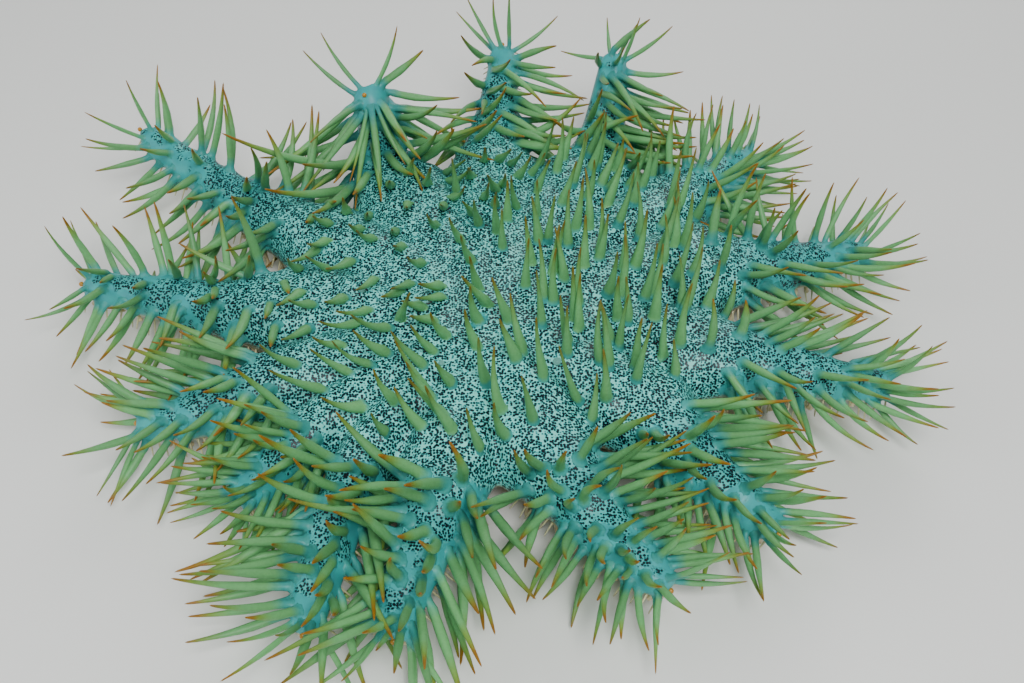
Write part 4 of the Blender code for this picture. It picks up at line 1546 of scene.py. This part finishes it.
def skin_values(points, normals, near, form):
    """Return how bare of specks, how far underneath and how dull each corner of the skin
    is."""
    tree = KDTree(len(ARMS) * (PATH_STEPS + 1))
    for index, frames in enumerate(form.paths):
        for step, here in enumerate(frames):
            tree.insert(shifted(here.centre), index * (PATH_STEPS + 1) + step)
    tree.balance()
    bare = np.zeros(len(points))
    outer = np.zeros(len(points))
    for i, point in enumerate(points):
        _, found, _ = tree.find(point)
        index, step = divmod(found, PATH_STEPS + 1)
        here = form.paths[index][step]
        share = step / PATH_STEPS
        away = Vector(point) / MM - Vector((DISC_X, DISC_Y, 0.0)) - here.centre
        on_arm = min(1.0, share / WEB_FULL_AT)
        side = min(1.0, abs(away.dot(here.side)) / max(1.0, here.half_width))
        web = on_arm * WEB_BARENESS * side ** 3
        tip = max(0.0, (share - TIP_BARE_FROM) / (1.0 - TIP_BARE_FROM)) * TIP_BARENESS
        bare[i] = web + tip + near[i] * (FOOT_BARENESS + ARM_FOOT_BARENESS * on_arm)
        outer[i] = min(1.0, share / DULL_AT)
    under = np.clip((-normals[:, 2] - PALE_FROM) / PALE_BLEND, 0.0, 1.0)
    return bare, under, outer


class STARFISH_OT_skin(bpy.types.Operator):
    """One unbroken skin over the disc and the arms."""
    bl_idname = "starfish.skin"
    bl_label = "Skin"

    def execute(self, context):
        form = growth()
        parts = [form.bodies["disc"]] + [smooth_arm(frames) for frames in form.paths]
        loose = []
        for number, part in enumerate(parts):
            piece = join_meshes(f"skin_{number}", [part])
            turn_outward(piece)
            loose.append(piece)
        skin = join_pieces(loose, "starfish_skin")
        apply_modifier(skin, "REMESH", mode="VOXEL", voxel_size=SKIN_VOXEL * MM)
        apply_modifier(skin, "SMOOTH", factor=SKIN_SMOOTHING_FORCE,
                       iterations=SKIN_SMOOTHING)
        points = mesh_points(skin.data)
        lift, near, hole = skin_relief(points, form)
        points += lift
        skin.data.vertices.foreach_set("co", points.ravel())
        skin.data.update()
        apply_modifier(skin, "SMOOTH", factor=MOUND_SMOOTHING_FORCE, iterations=1)
        shade_smooth(skin)
        points = mesh_points(skin.data)
        normals = np.empty(len(points) * 3)
        skin.data.vertices.foreach_get("normal", normals)
        bare, under, outer = skin_values(points, normals.reshape(-1, 3), near, form)
        set_values(skin.data, "bare", bare)
        set_values(skin.data, "under", under)
        set_values(skin.data, "outer", outer)
        # Share of painted shade in the dimple's hollow.
        set_values(skin.data, "hole", hole)
        skin.data.materials.clear()
        skin.data.materials.append(skin_material())
        faces = [tuple(face.vertices) for face in skin.data.polygons]
        form.skin_tree = BVHTree.FromPolygons([Vector(p) for p in points], faces)
        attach(skin, "root")
        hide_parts(*form.bodies)
        return {"FINISHED"}


def thorn_master():
    """Model one thorn as a stack of rings, each ring one unit above the last."""
    bpy.ops.object.select_all(action="DESELECT")
    bpy.ops.mesh.primitive_circle_add(vertices=THORN_SIDES, radius=1.0, fill_type="NGON",
                                      location=(0.0, 0.0, 0.0))
    master = bpy.context.view_layer.objects.active
    bpy.ops.object.mode_set(mode="EDIT")
    bpy.ops.mesh.select_all(action="SELECT")
    for _ in range(len(FOOT_RINGS) + THORN_LEVELS):
        bpy.ops.mesh.extrude_region_move(TRANSFORM_OT_translate={"value": (0.0, 0.0, 1.0)})
    bpy.ops.mesh.extrude_region_move(TRANSFORM_OT_translate={"value": (0.0, 0.0, 1.0)})
    bpy.ops.mesh.merge(type="CENTER")
    bpy.ops.mesh.select_all(action="SELECT")
    bpy.ops.mesh.normals_make_consistent(inside=False)
    bpy.ops.object.mode_set(mode="OBJECT")
    return master


def taken_shape(master):
    """Return a modelled master's corners and faces and take the master away."""
    shape = mesh_points(master.data)
    shape_faces = [tuple(face.vertices) for face in master.data.polygons]
    bpy.data.objects.remove(master, do_unlink=True)
    return shape, shape_faces


def thorn_axes(spine, twist):
    """Return two directions across a thorn, turned by its twist."""
    way = np.array(spine.way)
    across = np.array(spine.way.orthogonal().normalized())
    other = np.cross(way, across)
    first = across * math.cos(twist) + other * math.sin(twist)
    return first, np.cross(way, first)


def thorn_middle(spine, root, share):
    """Return a point on a thorn's curved middle line."""
    way = np.array(spine.way)
    end = way * SHOULDER_AT + np.array(spine.bent) * (1.0 - SHOULDER_AT)
    return root + (way * (share * (1.0 - share)) + end * share ** 2) * spine.length


def on_skin(form, point):
    """Return the nearest point of the skin in the tables' frame, and its normal."""
    found, normal, _, _ = form.skin_tree.find_nearest(Vector(shifted(point)))
    return np.array(found) / MM - np.array((DISC_X, DISC_Y, 0.0)), np.array(normal)


def thorn_points(shape, spine, twist, root, kind, form):
    """Return a thorn's corners and each one's share of its length: a foot that runs out
    over the skin, then a body bent along its own curve."""
    first, second = thorn_axes(spine, twist)
    root = np.array(root)
    width = THORN_WIDTH * spine.width
    foot_top = FOOT_HEIGHT * spine.width / spine.length
    rings = np.rint(shape[:, 2]).astype(int)
    points = np.empty_like(shape)
    shares = np.empty(len(shape))
    profile = THORN_PROFILES[kind]
    stalk = profile[0][1] * width
    reach = stalk * FOOT_REACH[kind]
    neck = thorn_middle(spine, root, foot_top)
    for i, (x, y, _) in enumerate(shape):
        aside = first * x + second * (y * THORN_FLATNESS)
        ring = rings[i]
        if ring > len(FOOT_RINGS):
            level = ring - len(FOOT_RINGS) - 1
            place, wide = profile[level] if level < THORN_LEVELS else (1.0, 0.0)
            shares[i] = foot_top + (1.0 - foot_top) * place
            points[i] = thorn_middle(spine, root, shares[i]) + aside * (width * wide)
            continue
        edge, normal = on_skin(form, root + aside * reach)
        if ring == 0:
            points[i] = edge * (1.0 - FOOT_DRAWN_IN) + root * FOOT_DRAWN_IN
            points[i] -= normal * FOOT_HIDDEN
            shares[i] = 0.0
            continue
        corner, _ = on_skin(form, root + aside * stalk)
        t = FOOT_RINGS[ring - 1]
        top = neck + aside * stalk
        points[i] = ((edge - normal * FOOT_SUNK) * (1 - t) ** 2
                     + corner * (2 * t * (1 - t)) + top * t * t)
        shares[i] = foot_top * t * t
    points[:, 2] = np.maximum(points[:, 2], LOWEST_POINT)
    return points, shares


def atlas_place(group, root, form):
    """Return where a root lies on the unwrap of the skin's own shape."""
    if group == "disc":
        return ATLAS_DISC + root.x * ATLAS_SCALE, ATLAS_DISC + root.y * ATLAS_SCALE
    index = int(group[-2:]) - 1
    frames = form.paths[index]
    step = min(range(len(frames)), key=lambda k: (frames[k].centre - root).length)
    here = frames[step]
    away = root - here.centre
    angle = math.atan2(away.dot(here.side), away.dot(here.up))
    row, column = divmod(index, ATLAS_COLUMNS)
    wide = angle * max(ATLAS_NARROWEST, here.half_width) * ATLAS_ROUND
    length = ARMS[index].length * step / PATH_STEPS
    return (ATLAS_FIRST[0] + ATLAS_STEP[0] * column + wide * ATLAS_SCALE * ATLAS_ARM_SCALE[0],
            ATLAS_FIRST[1] + ATLAS_STEP[1] * row + length * ATLAS_SCALE * ATLAS_ARM_SCALE[1])


def map_thorn(shape, shares, place):
    """Return each corner's place in the bake map: one small patch for the thorn."""
    turn = np.arctan2(shape[:, 1], shape[:, 0]) / (2 * math.pi) + 0.5
    return np.column_stack((place[0] + (turn - 0.5) * THORN_PATCH,
                            place[1] + (shares - 0.5) * THORN_PATCH * 2.0))


def kept_off_floor(spine):
    """Turn a thorn up until its whole length is clear of the floor."""
    root = np.array(spine.root)
    rise = UP * FLOOR_RISE
    for _ in range(FLOOR_TRIALS):
        lowest = min(thorn_middle(spine, root, share)[2]
                     - THORN_WIDTH * spine.width * (1.0 - share) for share in FLOOR_SHARES)
        if lowest > THORN_FLOOR_ROOM:
            break
        spine = spine._replace(way=(spine.way + rise).normalized(),
                               bent=(spine.bent + rise * FLOOR_RISE_BENT).normalized())
    return spine


def bent_thorn(spine, group, rng):
    """Return a thorn with the droop, the curl and the length of its group's thorns."""
    if (group in DROOPING and spine.way.y < DROOPS_BEFORE_Y
            and spine.way.x > DROOPS_BEYOND_X):
        droop = Vector(DROOPING[group])
        spine = spine._replace(way=(spine.way + droop).normalized(),
                               bent=(spine.bent + droop).normalized())
    curl = (spine.bent - spine.way) * (CURL_GAIN - 1.0) + random_lean(rng, CURL_WANDER)
    towards, beside = LONGER.get(group, (1.0, 1.0))
    gain = towards if spine.way.y < POINTS_TO_CAMERA else beside
    if spine.way.z > STANDS_UP:
        gain = 1.0
    spine = spine._replace(bent=(spine.bent + curl).normalized(), length=spine.length * gain)
    return kept_off_floor(spine)


def thorn_piece(name, group, thorns, shape, shape_faces, form, rng):
    """Return one joined piece with all thorns of the disc or of one arm."""
    points = []
    faces = []
    along = []
    tint = []
    places = []
    kind = "disc" if group == "disc" else "arm"
    for spine, twist in thorns:
        start = spine.root + spine.way * ROOT_SEARCH_START
        root, _ = skin_hit(form, start, -spine.way, ROOT_SEARCH)
        if root is None:
            root = spine.root
        spine = bent_thorn(spine, group, rng)
        made, shares = thorn_points(shape, spine, twist, root, kind, form)
        first = len(points) * len(shape)
        points.append(made)
        faces += [tuple(first + i for i in face) for face in shape_faces]
        along.append(shares)
        tint.append(np.full(len(shape), rng.random()))
        places.append(map_thorn(shape, shares, atlas_place(group, spine.root, form)))
    piece = join_meshes(name, [(np.vstack(points), faces)])
    set_values(piece.data, "along", np.concatenate(along))
    set_values(piece.data, "tint", np.concatenate(tint))
    set_values(piece.data, "warm", np.full(len(piece.data.vertices), float(kind == "arm")))
    layer = piece.data.uv_layers.new(name="OFBake")
    corners = np.empty(len(piece.data.loops), dtype=np.int32)
    piece.data.loops.foreach_get("vertex_index", corners)
    layer.data.foreach_set("uv", np.vstack(places)[corners].astype(np.float32).ravel())
    shade_smooth(piece)
    return piece


class STARFISH_OT_thorns(bpy.types.Operator):
    """Thorns of the disc and of every arm, each a bent copy of one modelled thorn."""
    bl_idname = "starfish.thorns"
    bl_label = "Thorns"

    def execute(self, context):
        form = growth()
        if form.skin_tree is None:
            raise RuntimeError("the skin comes before the thorns")
        shape, shape_faces = taken_shape(thorn_master())
        look = thorn_material()
        rng = random.Random(SEED)
        for group, thorns in form.groups.items():
            piece = thorn_piece("thorns_" + group, group, thorns, shape, shape_faces, form,
                                rng)
            piece.data.materials.append(look)
            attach(piece, "root")
        return {"FINISHED"}


def hanging_master(sides, profile, hollow=None):
    """Model one small part, a unit wide at its flat root and hanging down from it, level by
    level.  Its end may be hollowed, given the width of the rim and the depth."""
    bpy.ops.object.select_all(action="DESELECT")
    bpy.ops.mesh.primitive_circle_add(vertices=sides, radius=1.0, fill_type="NGON",
                                      location=(0.0, 0.0, 0.0))
    master = bpy.context.view_layer.objects.active
    bpy.ops.object.mode_set(mode="EDIT")
    bpy.ops.mesh.select_all(action="SELECT")
    for drop, grow in profile:
        bpy.ops.mesh.extrude_region_move(TRANSFORM_OT_translate={"value": (0.0, 0.0, -drop)})
        bpy.ops.transform.resize(value=(grow, grow, 1.0))
    if hollow:
        rim, depth = hollow
        bpy.ops.mesh.inset(thickness=rim, depth=0.0)
        bpy.ops.transform.translate(value=(0.0, 0.0, depth))
    bpy.ops.mesh.select_all(action="SELECT")
    bpy.ops.mesh.normals_make_consistent(inside=False)
    bpy.ops.object.mode_set(mode="OBJECT")
    return master


def planted(shape, root, way, wide, length):
    """Return a modelled part's corners with its root sunk into the skin, stretched along a
    direction to which its own downward axis is turned."""
    turn = DOWN.rotation_difference(way)
    return [root + turn @ Vector((x * wide, y * wide, z * length)) for x, y, z in shape]


def planted_piece(name, shape, shape_faces, places):
    """Return one joined piece with a modelled part planted at every place."""
    points = []
    faces = []
    for root, way, wide, length in places:
        first = len(points)
        points += planted(shape, root, way, wide, length)
        faces += [tuple(first + i for i in face) for face in shape_faces]
    piece = join_meshes(name, [(points, faces)])
    shade_smooth(piece)
    return piece


def sunk(root, way, wide, length):
    """Return the place of a small part whose root is sunk into the skin."""
    return root - way * PART_SUNK, way, wide, length + PART_SUNK


def under_arms(form, count, first, span, rows):
    """Yield the places under the arms where a small part can stand, in rows on both sides of
    the furrow: frame and share of the arm, side, row and root."""
    for arm, frames in zip(ARMS, form.paths):
        for place in range(count):
            share = first + span * place / (count - 1)
            if arm.divide and share > RAISED_LAST:
                continue
            here = frame_at(frames, share)
            for side in (-1.0, 1.0):
                for row in rows:
                    start = here.centre + here.side * (side * row * here.half_width)
                    root, _ = skin_hit(form, start, -here.up, PART_SEARCH)
                    if root is not None:
                        yield here, share, side, row, root


def tube_length(rng, share, row, root, down, way):
    """Return the length of one tube foot; the outer ones of the low arms reach the floor."""
    length = TUBE_LENGTH * spread(rng, TUBE_LENGTH_SPREAD) * (1.0 - TUBE_SHORTENING * share)
    if down.z >= FACES_DOWN:
        return length
    if row > TUBE_OUTER_ROW and root.z < TUBE_STANDING:
        return (root.z - FOOT_CLEAR) / -way.z
    return min(length, max(TUBE_SHORTEST, (root.z - TUBE_FLOOR_ROOM) / -way.z))


class STARFISH_OT_feet(bpy.types.Operator):
    """Tube feet under every arm, two rows on each side of its furrow; the outer ones of the
    low arms reach down to the floor."""
    bl_idname = "starfish.feet"
    bl_label = "Tube feet"

    def execute(self, context):
        form = growth()
        shape, shape_faces = taken_shape(hanging_master(TUBE_SIDES, TUBE_PROFILE,
                                                        SUCKER_HOLLOW))
        rng = random.Random(SEED)
        places = []
        for here, share, _, row, root in under_arms(form, TUBE_PAIRS, TUBE_FIRST, TUBE_SPAN,
                                                    TUBE_ROWS):
            down = -here.up
            way = (down + random_lean(rng, TUBE_WANDER)).normalized()
            length = tube_length(rng, share, row, root, down, way)
            wide = (TUBE_WIDTH - TUBE_NARROWING * share) * spread(rng, TUBE_WIDTH_SPREAD)
            places.append(sunk(root, way, wide, length))
        feet = planted_piece("tube_feet", shape, shape_faces, places)
        _, thorns, _ = settings()
        feet.data.materials.append(tissue_material("translucent tube-foot tissue",
                                                   thorns.tube, TUBE_ROUGHNESS))
        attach(feet, "root")
        return {"FINISHED"}


def furrow_places(form, rng):
    """Return the places of the spines along the furrow of every arm."""
    places = []
    for here, _, side, row, root in under_arms(form, FURROW_COUNT, FURROW_FIRST, FURROW_SPAN,
                                               FURROW_ROWS):
        way = -here.up + here.side * (side * (row - FURROW_UPRIGHT)) * FURROW_SPLAY
        way = (way + random_lean(rng, FURROW_WANDER)).normalized()
        length = FURROW_ROWS[row] * spread(rng, FURROW_LENGTH_SPREAD)
        if way.z < 0.0:
            to_floor = (root.z - FURROW_FLOOR_ROOM) / -way.z
            length = min(length, max(FURROW_SHORTEST, to_floor))
        wide = FURROW_WIDTH * spread(rng, FURROW_WIDTH_SPREAD)
        places.append(sunk(root, way, wide, length))
    return places


def mouth_places(form):
    """Return the places of the spines round the mouth, which lean in over it."""
    places = []
    for place in range(MOUTH_COUNT):
        angle = 2.0 * math.pi * place / MOUTH_COUNT
        aside = Vector((math.cos(angle), math.sin(angle), 0.0))
        for reach in MOUTH_REACHES:
            start = aside * reach + UP * MOUTH_SEARCH_HEIGHT
            root, _ = skin_hit(form, start, UP, PART_SEARCH)
            if root is None:
                continue
            way = (DOWN - aside * MOUTH_LEAN).normalized()
            to_floor = (root.z - FURROW_FLOOR_ROOM) / -way.z
            length = min(MOUTH_LENGTH, max(FURROW_SHORTEST, to_floor))
            places.append(sunk(root, way, MOUTH_WIDTH, length))
    return places


class STARFISH_OT_furrows(bpy.types.Operator):
    """Short blunt spines along the furrow of every arm and round the mouth."""
    bl_idname = "starfish.furrows"
    bl_label = "Furrow and mouth spines"

    def execute(self, context):
        form = growth()
        shape, shape_faces = taken_shape(hanging_master(FURROW_SIDES, FURROW_PROFILE))
        places = furrow_places(form, random.Random(SEED)) + mouth_places(form)
        piece = planted_piece("furrow_spines", shape, shape_faces, places)
        _, thorns, _ = settings()
        piece.data.materials.append(tissue_material("pale furrow spines", thorns.furrow,
                                                    FURROW_ROUGHNESS))
        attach(piece, "root")
        return {"FINISHED"}


class STARFISH_OT_plates(bpy.types.Operator):
    """Small grooved sieve plates in a loose ring on the disc, among the thorns."""
    bl_idname = "starfish.plates"
    bl_label = "Sieve plates"

    def execute(self, context):
        form = growth()
        shape, shape_faces = taken_shape(hanging_master(PLATE_SIDES, PLATE_PROFILE))
        rng = random.Random(SEED)
        places = []
        for place in range(PLATE_COUNT):
            slip = rng.uniform(-PLATE_SLIP, PLATE_SLIP)
            angle = 2.0 * math.pi * (place + slip) / PLATE_COUNT
            reach = PLATE_REACH * spread(rng, PLATE_REACH_SPREAD)
            start = Vector((reach * math.cos(angle), reach * math.sin(angle),
                            DISC_TOP + ABOVE_SKIN))
            root, normal = skin_hit(form, start, DOWN, PART_SEARCH)
            if root is None:
                continue
            wide = PLATE_RADIUS * spread(rng, PLATE_RADIUS_SPREAD)
            places.append((root - normal * PLATE_SUNK, normal, wide, PLATE_HEIGHT))
        piece = planted_piece("sieve_plates", shape, shape_faces, places)
        _, thorns, _ = settings()
        piece.data.materials.append(tissue_material("chalky sieve plate", thorns.plate,
                                                    PLATE_ROUGHNESS))
        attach(piece, "root")
        return {"FINISHED"}


class STARFISH_OT_eyes(bpy.types.Operator):
    """A yellow-orange light spot at the very tip of each arm."""
    bl_idname = "starfish.eyes"
    bl_label = "Eye spots"

    def execute(self, context):
        spots = []
        for frames in growth().paths:
            bpy.ops.object.select_all(action="DESELECT")
            bpy.ops.mesh.primitive_uv_sphere_add(segments=EYE_SEGMENTS, ring_count=EYE_RINGS,
                                                 radius=EYE_RADIUS * MM,
                                                 location=shifted(frames[-1].centre))
            spots.append(context.view_layer.objects.active)
            bpy.ops.object.transform_apply(location=True, rotation=True, scale=True)
        eyes = join_pieces(spots, "eye_spots")
        _, thorns, _ = settings()
        eyes.data.materials.append(tissue_material("orange eye-spot tissue", thorns.eye,
                                                   EYE_ROUGHNESS))
        shade_smooth(eyes)
        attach(eyes, "root")
        return {"FINISHED"}


def lay_floor(colour):
    """Lay the plain pale floor."""
    bpy.ops.object.select_all(action="DESELECT")
    bpy.ops.mesh.primitive_plane_add(size=FLOOR_SIZE, location=(0.0, 0.0, 0.0))
    floor = bpy.context.view_layer.objects.active
    floor.name = "stage_floor"
    paper = bpy.data.materials.new("matt studio paper")
    paper.use_nodes = True
    shader = paper.node_tree.nodes["Principled BSDF"]
    shader.inputs["Base Color"].default_value = tuple(colour)
    shader.inputs["Roughness"].default_value = FLOOR_ROUGHNESS
    floor.data.materials.append(paper)


def light_studio(key_power):
    """Hang the soft lights round the starfish and dim the room."""
    world = bpy.data.worlds.new("studio")
    world.use_nodes = True
    sky = world.node_tree.nodes["Background"]
    sky.inputs["Color"].default_value = linear(SKY_COLOUR)
    sky.inputs["Strength"].default_value = SKY_STRENGTH
    bpy.context.scene.world = world
    for name, (place, size, share) in LIGHTS.items():
        bpy.ops.object.light_add(type="AREA", location=place)
        lamp = bpy.context.view_layer.objects.active
        lamp.name = "light_" + name
        lamp.data.energy = key_power * share
        lamp.data.size = size
        aim = Vector(LIGHT_AIM) - Vector(place)
        lamp.rotation_euler = aim.to_track_quat("-Z", "Y").to_euler()


def set_camera(elevation, lens):
    """Stand the camera where the photo was taken from."""
    bpy.ops.object.camera_add(location=shifted(CAMERA_PLACE),
                              rotation=(math.pi / 2 - elevation, 0.0, 0.0))
    camera = bpy.context.view_layer.objects.active
    camera.data.lens = lens
    camera.data.sensor_width = CAMERA_SENSOR
    camera.data.clip_start = CAMERA_NEAR
    bpy.context.scene.camera = camera


class STARFISH_OT_stage(bpy.types.Operator):
    """Plain pale floor, soft studio light and the camera at the photo's angle."""
    bl_idname = "starfish.stage"
    bl_label = "Stage"

    def execute(self, context):
        _, _, stage = settings()
        lay_floor(stage.floor)
        light_studio(stage.key)
        set_camera(stage.elevation, stage.lens)
        return {"FINISHED"}


class STARFISH_PT_panel(bpy.types.Panel):
    """Buttons for the pieces, in the order in which they are made."""
    bl_idname = "STARFISH_PT_panel"
    bl_label = "Starfish"
    bl_space_type = "VIEW_3D"
    bl_region_type = "UI"
    bl_category = "Starfish"

    def draw(self, context):
        for step in STEPS:
            self.layout.operator(step.bl_idname)
        for group in (context.scene.starfish_skin, context.scene.starfish_thorns,
                      context.scene.starfish_stage):
            box = self.layout.box()
            for name in group.__annotations__:
                box.prop(group, name)


STEPS = (STARFISH_OT_skin, STARFISH_OT_thorns, STARFISH_OT_feet, STARFISH_OT_furrows,
         STARFISH_OT_plates, STARFISH_OT_eyes, STARFISH_OT_stage)
GROUPS = {"starfish_skin": StarfishSkin, "starfish_thorns": StarfishThorns,
          "starfish_stage": StarfishStage}


def register():
    """Register the groups, the operators and the panel."""
    for name, group in GROUPS.items():
        bpy.utils.register_class(group)
        setattr(bpy.types.Scene, name, bpy.props.PointerProperty(type=group))
    for step in STEPS:
        bpy.utils.register_class(step)
    bpy.utils.register_class(STARFISH_PT_panel)


def unregister():
    """Take the panel, the operators and the groups away again."""
    bpy.utils.unregister_class(STARFISH_PT_panel)
    for step in reversed(STEPS):
        bpy.utils.unregister_class(step)
    for name, group in GROUPS.items():
        delattr(bpy.types.Scene, name)
        bpy.utils.unregister_class(group)


def main():
    """Make every piece in order."""
    register()
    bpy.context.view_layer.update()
    for step in ("skin", "thorns", "feet", "furrows", "plates", "eyes", "stage"):
        getattr(bpy.ops.starfish, step)()


if __name__ == "__main__":
    main()
